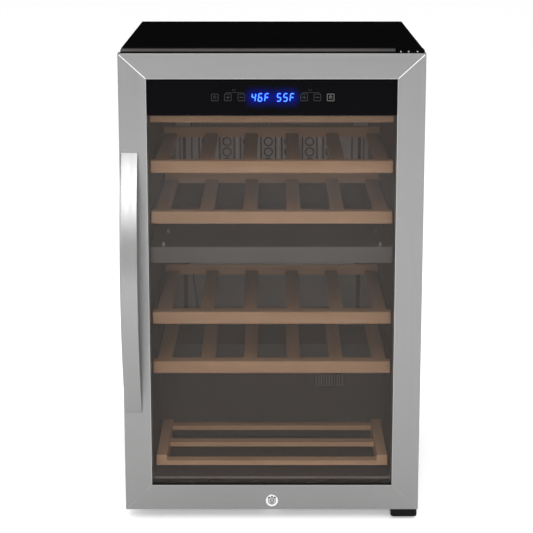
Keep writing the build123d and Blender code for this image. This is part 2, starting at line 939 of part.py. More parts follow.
handle_width = 29.0
strap = 7.0
handle_bottom = handle_z - handle_length / 2
handle_top = handle_z + handle_length / 2
bow_y = door_front - handle_reach
with BuildPart() as handle:
    with BuildSketch(Plane.YZ.offset(handle_x - handle_width / 2)):
        with BuildLine():
            ThreePointArc((door_front, handle_bottom), (bow_y, handle_z), (door_front, handle_top))
            Line((door_front, handle_top), (door_front, handle_top - handle_foot))
            ThreePointArc(
                (door_front, handle_top - handle_foot),
                (bow_y + strap, handle_z),
                (door_front, handle_bottom + handle_foot),
            )
            Line((door_front, handle_bottom + handle_foot), (door_front, handle_bottom))
        make_face()
    extrude(amount=handle_width)
    for screw_z in handle_screw_z:
        disc(handle_x, screw_z, handle_screw_radius, -5, 0, mode=Mode.SUBTRACT)
handle.part.label = "handle"
export_step(handle.part, "parts/handle.step")

with BuildPart() as handle_screws:
    for screw_z in handle_screw_z:
        disc(handle_x, screw_z, handle_screw_radius, -4.8, edge_round)
        disc(handle_x, screw_z, screw_head_radius, edge_round, edge_round + screw_head)
handle_screws.part.label = "handle_screws"
export_step(handle_screws.part, "parts/handle_screws.step")

# =====================================================================
# Lock: housing in the bottom rail, barrel and cam, keeper under the door
# =====================================================================

bezel_proud = 1.6
with BuildPart() as lock_housing:
    disc(0, lock_z, lock_bezel_radius, -bezel_proud, 0)
    fillet(lock_housing.edges().filter_by(GeomType.CIRCLE).group_by(Axis.Y)[0], 1)
    disc(0, lock_z, lock_body_radius, 0, cam_depth - 1.5)
    disc(
        0,
        lock_z,
        lock_barrel_radius + running_clearance,
        -bezel_proud,
        cam_depth - 1.5,
        mode=Mode.SUBTRACT,
    )
lock_housing.part.label = "lock_housing"
export_step(lock_housing.part, "parts/lock_housing.step")

keyway_outer = 3.8
keyway_inner = 2.4
keyway_depth = 8.0
with BuildPart() as lock_barrel:
    disc(0, lock_z, lock_barrel_radius, -1, cam_depth)
    disc(0, lock_z, keyway_outer, -1, keyway_depth, mode=Mode.SUBTRACT)
    disc(0, lock_z, keyway_inner, -1, keyway_depth)
    block(-1, 1, lock_z - keyway_outer - 1.3, lock_z - keyway_outer + 0.5, -1, 3, mode=Mode.SUBTRACT)
lock_barrel.part.label = "lock_barrel"
export_step(lock_barrel.part, "parts/lock_barrel.step")

cam_hub = 7.0
cam_width = 10.0
with BuildPart() as lock_cam:
    disc(0, lock_z, cam_hub, cam_depth, cam_depth + cam_thickness)
    block(
        -cam_length,
        0,
        lock_z - cam_width / 2,
        lock_z + cam_width / 2,
        cam_depth,
        cam_depth + cam_thickness,
    )
lock_cam.part.label = "lock_cam"
export_step(lock_cam.part, "parts/lock_cam.step")

# keeper: a bent strip under the door; the cam turns down behind its lip
keeper_half = 14.0
keeper_low = 8.0
keeper_top = door_bottom - 1.5
keeper_lip = 2.0
keeper_front = cam_depth - 1.0 - keeper_lip
with BuildPart() as lock_keeper:
    block(-keeper_half, keeper_half, keeper_low, keeper_top, keeper_front, keeper_front + keeper_lip)
    block(-keeper_half, keeper_half, keeper_low, keeper_low + keeper_lip, keeper_front, flange_depth + 20)
    block(
        -keeper_half,
        keeper_half,
        keeper_low,
        cabinet_bottom,
        flange_depth + 18,
        flange_depth + 20,
    )
lock_keeper.part.label = "lock_keeper"
export_step(lock_keeper.part, "parts/lock_keeper.step")

# =====================================================================
# Shelves: front trim bar, raised back bar, inner rail, slats and runners
# =====================================================================

runner_inner = 199.0
runner_outer = 205.0
slat_offset = shelf_bar_height - 3.0
inner_rail_height = 12.0
inner_rail_depth = 30.0
inner_rail_drop = 4.0
for number, shelf_bottom in enumerate(shelf_bottoms, start=1):
    bar_front = shelf_front_depth
    bar_back = shelf_front_depth + shelf_bar_depth
    slat_top = shelf_bottom + slat_offset
    back_bar_top = shelf_bottom + shelf_bar_height + back_bar_rise
    inner_rail_top = slat_top - inner_rail_drop
    inner_rail = (
        -runner_inner,
        runner_inner,
        inner_rail_top - inner_rail_height,
        inner_rail_top,
        bar_back,
        bar_back + inner_rail_depth,
    )
    with BuildPart() as shelf_bars:
        block(
            -shelf_bar_half,
            shelf_bar_half,
            shelf_bottom,
            shelf_bottom + shelf_bar_height,
            bar_front,
            bar_back,
        )
        fillet(shelf_bars.edges().filter_by(Axis.X), 2.5)
        fillet(shelf_bars.edges().filter_by(Axis.Z).group_by(Axis.Y)[0], 1.5)
        block(
            -back_bar_half,
            back_bar_half,
            back_bar_top - back_bar_height,
            back_bar_top,
            shelf_back_depth,
            shelf_back_depth + back_bar_depth,
        )
        block(*inner_rail)
    shelf_bars.part.label = f"shelf_{number}_bars"
    export_step(shelf_bars.part, f"parts/shelf_{number}_bars.step")

    with BuildPart() as shelf_slats:
        with BuildSketch(Plane.XY.offset(slat_top - slat_thickness)) as slat_outline:
            with Locations((0, y_at((bar_back + shelf_back_depth) / 2))):
                with GridLocations(slat_pitch, 1, slat_count, 1):
                    Rectangle(slat_width, shelf_back_depth - bar_back)
        extrude(amount=slat_thickness)
        fillet(shelf_slats.edges().filter_by(Axis.Y).group_by(Axis.Z)[-1], 1.5)
        block(*inner_rail, mode=Mode.SUBTRACT)
    shelf_slats.part.label = f"shelf_{number}_slats"
    export_step(shelf_slats.part, f"parts/shelf_{number}_slats.step")

    with BuildPart() as shelf_runners:
        runner_low = shelf_bottom + ledge_sheet + side_play
        for side in (-1, 1):
            edges = sorted((side * runner_inner, side * runner_outer))
            block(edges[0], edges[1], runner_low, runner_low + runner_height, bar_back, shelf_back_depth)
    shelf_runners.part.label = f"shelf_{number}_runners"
    export_step(shelf_runners.part, f"parts/shelf_{number}_runners.step")

# =====================================================================
# Bottom rack: two side bars joined by three cross bars
# =====================================================================

rack_floor = cavity_floor + side_play
with BuildPart() as rack_sides:
    for side in (-1, 1):
        edges = sorted((side * rack_side_inner, side * rack_side_outer))
        block(edges[0], edges[1], rack_side_low, rack_side_top, rack_front_depth, rack_back_depth)
        legs = sorted((side * rack_side_inner, side * (rack_side_outer - rack_leg_inset)))
        block(legs[0], legs[1], rack_floor, rack_side_low, rack_leg_front, rack_back_depth - 12)
    fillet(rack_sides.edges().filter_by(Axis.Y).group_by(Axis.Z)[-1], 1.5)
rack_sides.part.label = "rack_sides"
export_step(rack_sides.part, "parts/rack_sides.step")

with BuildPart() as rack_bars:
    for bar_depth, bar_low in zip(rack_bar_depths, rack_bar_lows):
        block(
            -rack_side_inner,
            rack_side_inner,
            bar_low,
            bar_low + rack_bar_height,
            bar_depth,
            bar_depth + rack_bar_depth,
        )
rack_bars.part.label = "rack_bars"
export_step(rack_bars.part, "parts/rack_bars.step")

# =====================================================================
# Levelling feet: a ribbed pad on a threaded stem
# =====================================================================

foot_height = 12.0
hex_radius = 9.0
hex_height = 6.0
foot_places = {
    "front_left": (-foot_x, foot_front_depth),
    "front_right": (foot_x, foot_front_depth),
    "rear_left": (-foot_x, foot_rear_depth),
    "rear_right": (foot_x, foot_rear_depth),
}
for name, (foot_place_x, foot_depth) in foot_places.items():
    with BuildPart() as foot:
        post(foot_place_x, foot_depth, foot_radius, 0, foot_height)
        fillet(foot.edges().filter_by(GeomType.CIRCLE).group_by(Axis.Z)[0], 2)
        with BuildSketch(Plane.XY.offset(foot_height)):
            with Locations((foot_place_x, y_at(foot_depth))):
                RegularPolygon(hex_radius, 6)
        extrude(amount=hex_height)
        post(foot_place_x, foot_depth, foot_stem_radius, foot_height, foot_stem_top)
    foot.part.label = f"foot_{name}"
    export_step(foot.part, f"parts/foot_{name}.step")
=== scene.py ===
"""Two-zone wine cooler: door skin, glass, controls, shelves, liner and stage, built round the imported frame.

Every length is in metres, in the frame's own axes: +Z up, the door faces -Y.
"""

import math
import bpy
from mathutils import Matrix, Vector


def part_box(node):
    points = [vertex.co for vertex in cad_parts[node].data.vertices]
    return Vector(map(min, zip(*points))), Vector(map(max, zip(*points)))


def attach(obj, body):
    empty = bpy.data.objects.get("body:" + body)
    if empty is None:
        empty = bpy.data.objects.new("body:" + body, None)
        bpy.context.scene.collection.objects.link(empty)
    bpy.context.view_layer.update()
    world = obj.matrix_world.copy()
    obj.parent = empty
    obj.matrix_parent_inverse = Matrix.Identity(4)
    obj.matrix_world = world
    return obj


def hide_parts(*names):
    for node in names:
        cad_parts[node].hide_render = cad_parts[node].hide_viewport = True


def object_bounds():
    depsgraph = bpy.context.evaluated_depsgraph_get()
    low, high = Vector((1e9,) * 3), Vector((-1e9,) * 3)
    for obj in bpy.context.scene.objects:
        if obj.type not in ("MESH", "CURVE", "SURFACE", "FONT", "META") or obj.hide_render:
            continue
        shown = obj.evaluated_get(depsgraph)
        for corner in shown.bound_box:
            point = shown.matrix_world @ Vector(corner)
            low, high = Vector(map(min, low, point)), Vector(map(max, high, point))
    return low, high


bl_info = {
    "name": "Wine Cooler Builder",
    "version": (1, 0, 0),
    "blender": (4, 5, 0),
    "location": "View3D > Sidebar > Wine Cooler",
    "description": "Builds the visible pieces and finishes of a two-zone wine cooler",
    "category": "Object",
}

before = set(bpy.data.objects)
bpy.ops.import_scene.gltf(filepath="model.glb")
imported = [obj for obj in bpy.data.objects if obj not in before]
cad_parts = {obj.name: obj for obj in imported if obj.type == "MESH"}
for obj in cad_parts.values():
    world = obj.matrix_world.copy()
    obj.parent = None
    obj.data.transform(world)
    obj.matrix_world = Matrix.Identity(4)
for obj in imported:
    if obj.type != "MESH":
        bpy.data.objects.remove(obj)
cad_low, cad_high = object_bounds()

import bmesh
import bpy
from bpy.props import FloatProperty, FloatVectorProperty, IntProperty, PointerProperty, StringProperty
from mathutils import Matrix, Vector

MM = 0.001

# ---- places, read from the frame ----
stile_low, stile_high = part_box("door_stiles")
shell_low, shell_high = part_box("cabinet_shell")
glass_low, glass_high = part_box("glass_outer")
handle_low, handle_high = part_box("handle")
housing_low, housing_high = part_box("control_housing")
board_low, board_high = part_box("display_board")
divider_low, divider_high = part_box("zone_divider")
covers_low, covers_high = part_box("air_covers")
DOOR_FRONT = stile_low.y
GLASS_FRONT = glass_low.y
CAVITY_HALF = divider_high.x + 0.3 * MM
GLASS_LAP = 8 * MM
WINDOW_HALF = glass_high.x - GLASS_LAP
WINDOW_LOW = glass_low.z + GLASS_LAP
WINDOW_HIGH = glass_high.z - GLASS_LAP
SHELVES = range(1, 6)


# ---- Settings a user would change ----


class CoolerFinishes(bpy.types.PropertyGroup):
    """Colours of the cooler's finishes."""

    steel: FloatVectorProperty(
        name="Stainless", description="Tone of the brushed door frame", subtype="COLOR",
        default=(0.225, 0.225, 0.224), min=0, max=1,
    )
    cabinet: FloatVectorProperty(
        name="Cabinet", description="Paint of the cabinet skin", subtype="COLOR",
        default=(0.006, 0.006, 0.007), min=0, max=1,
    )
    wood_light: FloatVectorProperty(
        name="Wood, light", description="Pale rings of the shelf wood", subtype="COLOR",
        default=(0.62, 0.375, 0.225), min=0, max=1,
    )
    wood_dark: FloatVectorProperty(
        name="Wood, dark", description="Dark rings of the shelf wood", subtype="COLOR",
        default=(0.47, 0.265, 0.145), min=0, max=1,
    )
    liner: FloatVectorProperty(
        name="Liner", description="Plastic of the inside walls", subtype="COLOR",
        default=(0.064, 0.059, 0.057), min=0, max=1,
    )
    read_out: FloatVectorProperty(
        name="Read-out", description="Light of the temperature digits", subtype="COLOR",
        default=(0.02, 0.10, 1.0), min=0, max=1,
    )
    glass_tint: FloatVectorProperty(
        name="Glass tint", description="Tone of the tinted door glass", subtype="COLOR",
        default=(0.036, 0.030, 0.026), min=0, max=1,
    )
    glass_veil: FloatProperty(
        name="Glass veil", description="How much the tinted glass hides", subtype="FACTOR",
        default=0.27, min=0, max=1,
    )


class CoolerDoor(bpy.types.PropertyGroup):
    """Sizes of the door's visible pieces."""

    frame_bevel: FloatProperty(
        name="Frame bevel", description="Bevel round each mitred skin", unit="LENGTH", default=0.7 * MM
    )
    handle_bevel: FloatProperty(
        name="Handle bevel", description="Rounding of the strap's edges", unit="LENGTH", default=1.6 * MM
    )
    handle_steps: IntProperty(
        name="Handle steps", description="Divisions along the bowed strap", default=72, min=8
    )
    digit_height: FloatProperty(
        name="Digit height", description="Height of one read-out digit", unit="LENGTH", default=12.4 * MM
    )
    digit_pitch: FloatProperty(
        name="Digit pitch", description="Distance between digits", unit="LENGTH", default=10.6 * MM
    )
    left_text: StringProperty(
        name="Left read-out", description="Temperature of one zone", default="46F"
    )
    right_text: StringProperty(
        name="Right read-out", description="Temperature of the other zone", default="55F"
    )


class CoolerInside(bpy.types.PropertyGroup):
    """Counts and sizes of the pieces behind the glass."""

    slat_count: IntProperty(name="Slats", description="Slats on each shelf", default=6, min=2)
    slat_width: FloatProperty(
        name="Slat width", description="Width of one slat", unit="LENGTH", default=24 * MM
    )
    slat_round: FloatProperty(
        name="Slat rounding", description="Rounding of a slat's edges", unit="LENGTH", default=2.2 * MM
    )
    ring_columns: IntProperty(
        name="Ring columns", description="Columns of pressed rings in the air cover", default=7, min=1
    )
    ring_rows: IntProperty(
        name="Ring rows", description="Rings that fit one full column", default=6, min=1
    )
    ring_radius: FloatProperty(
        name="Ring radius", description="Outer radius of a pressed ring", unit="LENGTH", default=9.0 * MM
    )
    lip_radius: FloatProperty(
        name="Lip radius", description="Roll round the cavity's mouth", unit="LENGTH", default=1.6 * MM
    )


# ---- Shader groups, each built once ----


def add(tree, kind, inputs=None, **settings):
    """New node: its settings, then each input as a socket to link or a plain value."""
    node = tree.nodes.new(kind)
    for name, value in settings.items():
        setattr(node, name, value)
    for key, value in (inputs or {}).items():
        if isinstance(value, bpy.types.NodeSocket):
            tree.links.new(value, node.inputs[key])
        else:
            node.inputs[key].default_value = value
    return node


def open_tree(name, family, inputs, outputs):
    """New node tree with named inputs and outputs; returns tree, inputs and identifiers by name."""
    tree = bpy.data.node_groups.new(name, family)
    keys = {}
    for label, kind, value in inputs:
        socket = tree.interface.new_socket(label, in_out="INPUT", socket_type="NodeSocket" + kind)
        if value is not None:
            socket.default_value = value
        keys[label] = socket.identifier
    for label, kind in outputs:
        tree.interface.new_socket(label, in_out="OUTPUT", socket_type="NodeSocket" + kind)
    return tree, tree.nodes.new("NodeGroupInput").outputs, keys


def start_group(name, *inputs):
    """New shader group with a place, its inputs and the three outputs of a skin."""
    outputs = (("Colour", "Color"), ("Roughness", "Float"), ("Height", "Float"))
    return open_tree(name, "ShaderNodeTree", (("Vector", "Vector", None), *inputs), outputs)[:2]


def end_group(tree, colour, roughness, height):
    """Sends a skin's results to the group's outputs."""
    add(tree, "NodeGroupOutput", {"Colour": colour, "Roughness": roughness, "Height": height})
    return tree


def noise(tree, vector, scale, detail=2.0, roughness=0.5):
    """Noise value between 0 and 1."""
    inputs = {"Vector": vector, "Scale": scale, "Detail": detail, "Roughness": roughness}
    return add(tree, "ShaderNodeTexNoise", inputs).outputs["Fac"]


def remap(tree, value, low, high, out_low=0.0, out_high=1.0):
    """Value moved from one range to another."""
    inputs = {"Value": value, "From Min": low, "From Max": high, "To Min": out_low, "To Max": out_high}
    return add(tree, "ShaderNodeMapRange", inputs).outputs["Result"]


def maths(tree, operation, first, second=0.0):
    """Result of one sum."""
    return add(tree, "ShaderNodeMath", {0: first, 1: second}, operation=operation).outputs[0]


def blend_colours(tree, factor, first, second, how="MIX"):
    """Two colours blended."""
    inputs = {0: factor, 6: first, 7: second}
    return add(tree, "ShaderNodeMix", inputs, data_type="RGBA", blend_type=how).outputs[2]


def grey(tree, level):
    """Grey colour of one level."""
    return add(tree, "ShaderNodeCombineColor", {channel: level for channel in range(3)}).outputs[0]


def object_place(tree):
    """Where a point lies on its object."""
    return add(tree, "ShaderNodeTexCoord").outputs["Object"]


def stretch(tree, vector, scale):
    """Place squeezed along some axes."""
    return add(tree, "ShaderNodeMapping", {"Vector": vector, "Scale": scale}).outputs["Vector"]


def brushed_group():
    """Fine scratches along one direction with slow waves of tone."""
    tree, given = start_group(
        "brushed_grain",
        ("Stretch", "Vector", (4.0, 400.0, 400.0)),
        ("Colour", "Color", (0.5, 0.5, 0.5, 1)),
        ("Contrast", "Float", 0.10),
    )
    lines = stretch(tree, given["Vector"], given["Stretch"])
    fine = noise(tree, lines, 3.0, 3.0, 0.6)
    broad = noise(tree, lines, 0.22)
    cloud = noise(tree, given["Vector"], 3.5)
    mixed = maths(tree, "ADD", maths(tree, "MULTIPLY", fine, 0.5), maths(tree, "MULTIPLY", broad, 0.5))
    swing = maths(tree, "MULTIPLY", maths(tree, "SUBTRACT", mixed, 0.5), given["Contrast"])
    slow = maths(tree, "MULTIPLY", maths(tree, "SUBTRACT", cloud, 0.5), 0.10)
    gain = maths(tree, "ADD", maths(tree, "ADD", swing, slow), 1.0)
    colour = blend_colours(tree, 1.0, given["Colour"], grey(tree, gain), "MULTIPLY")
    return end_group(tree, colour, remap(tree, mixed, 0.3, 0.7, 0.30, 0.44), fine)


def wood_group():
    """Beech: long soft rings, short dark flecks and a fine open grain."""
    tree, given = start_group(
        "beech_grain",
        ("Stretch", "Vector", (6.0, 90.0, 90.0)),
        ("Light", "Color", (0.6, 0.4, 0.25, 1)),
        ("Dark", "Color", (0.4, 0.25, 0.14, 1)),
    )
    along = stretch(tree, given["Vector"], given["Stretch"])
    rings = noise(tree, along, 0.55, 3.0, 0.55)
    fine = noise(tree, along, 5.0, 4.0, 0.65)
    plank = noise(tree, given["Vector"], 7.0, 1.0)
    flecks = noise(tree, along, 2.4, 1.0, 0.4)
    tone = maths(tree, "ADD", maths(tree, "MULTIPLY", rings, 0.62), maths(tree, "MULTIPLY", fine, 0.38))
    tone = maths(tree, "ADD", tone, maths(tree, "MULTIPLY", maths(tree, "SUBTRACT", plank, 0.5), 0.35))
    base = blend_colours(tree, remap(tree, tone, 0.32, 0.68), given["Dark"], given["Light"])
    fleck_mask = remap(tree, flecks, 0.64, 0.72, 0.0, 0.35)
    colour = blend_colours(tree, fleck_mask, base, given["Dark"])
    height = maths(tree, "SUBTRACT", fine, maths(tree, "MULTIPLY", fleck_mask, 0.6))
    return end_group(tree, colour, remap(tree, fine, 0.3, 0.7, 0.62, 0.48), height)


def moulded_group():
    """Moulded plastic or paint: fine orange peel, faint mottling and a little dust on upward faces."""
    tree, given = start_group(
        "moulded_skin",
        ("Grain", "Float", 900.0),
        ("Colour", "Color", (0.05, 0.05, 0.05, 1)),
        ("Dust", "Float", 0.0),
        ("Low", "Float", 0.4),
        ("High", "Float", 0.5),
    )
    peel = noise(tree, given["Vector"], given["Grain"])
    mottle = noise(tree, given["Vector"], 14.0, 3.0, 0.6)
    normal = add(tree, "ShaderNodeNewGeometry").outputs["Normal"]
    upward = remap(tree, add(tree, "ShaderNodeSeparateXYZ", {0: normal}).outputs["Z"], 0.6, 1.0)
    dust = maths(tree, "MULTIPLY", maths(tree, "MULTIPLY", upward, given["Dust"]), mottle)
    shade = grey(tree, remap(tree, mottle, 0.25, 0.75, 0.9, 1.1))
    varied = blend_colours(tree, 1.0, given["Colour"], shade, "MULTIPLY")
    spread = maths(tree, "SUBTRACT", given["High"], given["Low"])
    rough = maths(tree, "ADD", given["Low"], maths(tree, "MULTIPLY", spread, mottle))
    return end_group(tree, blend_colours(tree, dust, varied, (0.45, 0.43, 0.4, 1)), rough, peel)


GROUPS = {}


def group_named(name):
    """The shader group of that name, made on first use."""
    makers = {"brushed": brushed_group, "beech": wood_group, "moulded": moulded_group}
    if name not in GROUPS:
        GROUPS[name] = makers[name]()
    return GROUPS[name]


# ---- Materials ----

MATERIALS = {}


def blank(name):
    """New material: its tree, its shader's inputs and the place on the object."""
    material = bpy.data.materials.new(name)
    material.use_nodes = True
    MATERIALS[name] = material
    tree = material.node_tree
    return tree, tree.nodes["Principled BSDF"].inputs, object_place(tree)


def tune(shader_inputs, **values):
    """Constants set on a shader's own sockets."""
    for label, value in values.items():
        shader_inputs[label.replace("_", " ")].default_value = value


def surfaced(name, group, values, bump=0.1, bump_distance=0.0002, **shader_values):
    """Material whose colour, roughness and bump come from one group; constants go on the shader."""
    tree, shader, where = blank(name)
    inputs = {label: (*value, 1) if label in ("Colour", "Light", "Dark") else value
              for label, value in values.items()}
    skin = add(tree, "ShaderNodeGroup", node_tree=group_named(group))
    for label, value in inputs.items():
        skin.inputs[label].default_value = value
    tree.links.new(where, skin.inputs["Vector"])
    relief = {"Strength": bump, "Distance": bump_distance, "Height": skin.outputs["Height"]}
    tree.links.new(skin.outputs["Colour"], shader["Base Color"])
    tree.links.new(skin.outputs["Roughness"], shader["Roughness"])
    tree.links.new(add(tree, "ShaderNodeBump", relief).outputs[0], shader["Normal"])
    tune(shader, **shader_values)
    return shader


def brushed(name, colour, stretch_by, contrast=0.10, bump=0.05, **shader_values):
    """Brushed metal, scratched along the axis with the small stretch."""
    values = {"Colour": colour, "Stretch": stretch_by, "Contrast": contrast}
    return surfaced(name, "brushed", values, bump, 0.00005, Metallic=1.0, **shader_values)


def moulded(name, colour, low, high, grain=900.0, bump=0.12, dust=0.0, **shader_values):
    """Plastic, rubber or paint."""
    values = {"Colour": colour, "Grain": grain, "Dust": dust, "Low": low, "High": high}
    return surfaced(name, "moulded", values, bump, **shader_values)


def glowing(name, colour, strength):
    """Lit display or lamp cover."""
    tune(moulded(name, colour, 0.25, 0.35), Emission_Color=(*colour, 1), Emission_Strength=strength)


def glass_sheet(name, colour, veil, smear=0.015):
    """Thin tinted pane: mostly see-through, glossy, with faint wiping marks."""
    tree, shader, where = blank(name)
    wipes = noise(tree, stretch(tree, where, (3.0, 3.0, 9.0)), 2.0, 3.0)
    tree.links.new(remap(tree, wipes, 0.3, 0.7, 0.02, 0.02 + smear), shader["Roughness"])
    tree.links.new(remap(tree, wipes, 0.3, 0.7, veil - smear, veil + smear), shader["Alpha"])
    tune(shader, Base_Color=(*colour, 1), IOR=1.5, Specular_IOR_Level=0.2)


def halo(name, colour):
    """Dark gloss band with blue light round the two read-outs that dies away over it."""
    shader = moulded(name, (0.0018, 0.0018, 0.0022), 0.05, 0.08, bump=0.0, Specular_IOR_Level=0.02)
    tree = MATERIALS[name].node_tree
    place_on_band = add(tree, "ShaderNodeSeparateXYZ", {0: object_place(tree)}).outputs
    middle_z = (board_low.z + board_high.z) / 2
    up = maths(tree, "DIVIDE", maths(tree, "SUBTRACT", place_on_band["Z"], middle_z), 22 * MM)
    level = 0.0
    for centre in (-19.3 * MM, 21.7 * MM):
        side = maths(tree, "ABSOLUTE", maths(tree, "SUBTRACT", place_on_band["X"], centre))
        beyond = maths(tree, "MAXIMUM", maths(tree, "SUBTRACT", side, 11 * MM), 0)
        across = maths(tree, "POWER", maths(tree, "DIVIDE", beyond, 20 * MM), 2)
        reach = maths(tree, "SQRT", maths(tree, "ADD", across, maths(tree, "MULTIPLY", up, up)))
        near = maths(tree, "POWER", maths(tree, "MAXIMUM", maths(tree, "SUBTRACT", 1.0, reach), 0), 2)
        level = maths(tree, "ADD", level, near)
    # The blue glow on the band is painted light: emission standing in for the read-outs' light spilling over
    # it.
    tone = blend_colours(tree, level, (0, 0, 0, 1), (colour[0] * 0.1, colour[1] * 0.25, colour[2], 1))
    tree.links.new(tone, shader["Emission Color"])
    tune(shader, Emission_Strength=0.3)


def make_materials(finishes):
    """All finishes of the cooler, by name."""
    steel = tuple(finishes.steel)
    brushed("steel_along_x", steel, (3.0, 400.0, 400.0), contrast=0.22)
    brushed("steel_along_z", steel, (400.0, 400.0, 3.0), contrast=0.22)
    # The strap's steel is a slightly lighter copy of the frame's stainless: painted sheen.
    brushed("steel_handle", tuple(c * 1.08 for c in steel), (500.0, 60.0, 3.0), contrast=0.12)
    # Polished steel serves the real rivets and lock bezel, and also the painted highlight lines on the upper
    # mitres; the edge steel is only painted highlight, on the lower mitres and round the window.
    brushed("steel_polished", (0.75, 0.75, 0.75), (60.0, 60.0, 60.0), contrast=0.04, bump=0.0)
    brushed("steel_edge", (0.36, 0.36, 0.36), (60.0, 60.0, 60.0), contrast=0.04, bump=0.0)
    brushed("plated", (0.50, 0.50, 0.51), (40.0, 40.0, 40.0), contrast=0.05, bump=0.02)
    brushed("aluminium", (0.62, 0.63, 0.64), (60.0, 60.0, 6.0))
    paint = tuple(finishes.cabinet)
    moulded("cabinet_paint", paint, 0.22, 0.30, grain=450.0, bump=0.03, Specular_IOR_Level=0.12)
    # Paint a little lighter than the cabinet's: a painted highlight for the top's front edge.
    moulded("edge_paint", (0.014, 0.014, 0.015), 0.3, 0.4, Specular_IOR_Level=0.05)
    moulded("deep_black", (0.0022, 0.0022, 0.0024), 0.35, 0.45, bump=0.0, Specular_IOR_Level=0.0)
    moulded("block_black", (0.004, 0.004, 0.004), 0.25, 0.35, bump=0.0, Specular_IOR_Level=0.06)
    moulded("ring_sheet", (0.46, 0.425, 0.41), 0.45, 0.55, bump=0.0)
    # About twice the liner's tone: the same plastic painted lighter where the flange faces the front.
    moulded("flange_sheet", (0.12, 0.105, 0.10), 0.45, 0.55, bump=0.0)
    # Pale sheet for the window's sill and flanks: painted light, far lighter than the black frame it lies on.
    moulded("ledge_sheet", (0.50, 0.44, 0.42), 0.45, 0.55, bump=0.0)
    moulded("galvanised", (0.40, 0.41, 0.42), 0.4, 0.55, grain=120.0, Metallic=0.9)
    moulded("liner_plastic", tuple(finishes.liner), 0.42, 0.55, bump=0.0, Specular_IOR_Level=0.2)
    # Far lighter than the liner it rolls from: painted highlight on the lip.
    moulded("liner_lip_plastic", (0.25, 0.24, 0.235), 0.3, 0.4, bump=0.0)
    moulded("cover_sheet", tuple(c * 3.0 for c in finishes.liner), 0.45, 0.55, bump=0.0)
    moulded("cover_ring", (0.012, 0.012, 0.012), 0.35, 0.45, bump=0.0)
    moulded("cover_rib", (0.62, 0.58, 0.56), 0.35, 0.45, bump=0.0)
    moulded("black_plastic", (0.010, 0.010, 0.011), 0.35, 0.5)
    # Dark plastic of the runners, divider and grille, and also the painted shade sheet on the upper cover.
    moulded("dark_runner", (0.014, 0.014, 0.015), 0.35, 0.5, bump=0.0)
    moulded("gasket_rubber", (0.022, 0.022, 0.023), 0.6, 0.75, grain=500.0)
    moulded("foot_rubber", (0.012, 0.012, 0.012), 0.65, 0.8, dust=0.3)
    moulded("trim_grey", (0.115, 0.108, 0.105), 0.35, 0.45, bump=0.0)
    moulded("foam_yellow", (0.75, 0.62, 0.33), 0.85, 0.95, grain=250.0, bump=0.5)
    moulded("board_green", (0.01, 0.09, 0.04), 0.35, 0.5)
    moulded("key_print", (0.022, 0.022, 0.024), 0.4, 0.5, Specular_IOR_Level=0.1)
    glowing("key_lit", (0.07, 0.07, 0.065), 0.3)
    glowing("digit_blue", tuple(finishes.read_out), 3.2)
    halo("digit_halo", tuple(finishes.read_out))
    moulded("lamp_white", (0.11, 0.105, 0.10), 0.3, 0.4)
    glass_sheet("glass_tinted", tuple(finishes.glass_tint), finishes.glass_veil)
    glass_sheet("glass_clear", (0.03, 0.03, 0.03), 0.04, smear=0.004)
    light, dark = tuple(finishes.wood_light), tuple(finishes.wood_dark)
    # The copies at 1.3 times are painted light: a lighter copy of the same beech for the shadowed bottom
    # rack.
    for name, along, gain in (
        ("beech_x", (5.0, 80.0, 80.0), 1.0), ("beech_y", (80.0, 5.0, 80.0), 1.0),
        ("beech_pale_x", (5.0, 80.0, 80.0), 1.3), ("beech_pale_y", (80.0, 5.0, 80.0), 1.3),
    ):
        tones = {"Light": tuple(c * gain for c in light), "Dark": tuple(c * gain for c in dark)}
        surfaced(name, "beech", {"Stretch": along, **tones}, 0.25, 0.0003, Specular_IOR_Level=0.35)


def finish_node(node, material):
    """Gives a frame node that stays in view its finish."""
    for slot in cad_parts[node].material_slots:
        slot.material = MATERIALS[material]


# ---- Mesh helpers ----


def box_mesh(bm, low, high):
    """Straight box between two corners; returns its vertices."""
    made = bmesh.ops.create_cube(bm, size=1.0)["verts"]
    size = Vector(high) - Vector(low)
    middle = (Vector(high) + Vector(low)) / 2
    bmesh.ops.scale(bm, vec=size, verts=made)
    bmesh.ops.translate(bm, vec=middle, verts=made)
    return made


def loft(bm, rings, closed=False):
    """Skin over rings of points; ends are capped unless the last ring joins the first."""
    rows = [[bm.verts.new(point) for point in ring] for ring in rings]
    for here, there in zip(rows, rows[1:] + (rows[:1] if closed else [])):
        for index in range(len(here)):
            after = (index + 1) % len(here)
            bm.faces.new((here[index], here[after], there[after], there[index]))
    if not closed:
        bm.faces.new(rows[0])
        bm.faces.new(rows[-1][::-1])


def prism(bm, outline, depth_low, depth_high):
    """Upright prism: an (x, z) outline between two depths along Y."""
    loft(bm, [[(x, depth, z) for x, z in outline] for depth in (depth_low, depth_high)])


def border(bm, inner, outer, depth_low, depth_high):
    """Four boxes between two upright rectangles, each (half width, low, high)."""
    for x_low, z_low, x_high, z_high in (
        (-outer[0], outer[1], outer[0], inner[1]),
        (-outer[0], inner[2], outer[0], outer[2]),
        (-outer[0], inner[1], -inner[0], inner[2]),
        (inner[0], inner[1], outer[0], inner[2]),
    ):
        box_mesh(bm, (x_low, depth_low, z_low), (x_high, depth_high, z_high))


def round_spot(middle, radius, degrees):
    """Point (x, z) on a circle."""
    angle = math.radians(degrees)
    return Vector(middle) + radius * Vector((math.cos(angle), math.sin(angle)))


def tube_between(bm, first, second, radius, sides=16):
    """Closed round bar between two points."""
    first, second = Vector(first), Vector(second)
    axis = second - first
    turn = axis.to_track_quat("Z", "Y").to_matrix().to_4x4()
    place = Matrix.Translation((first + second) / 2) @ turn
    bmesh.ops.create_cone(
        bm, cap_ends=True, segments=sides, radius1=radius, radius2=radius, depth=axis.length, matrix=place
    )


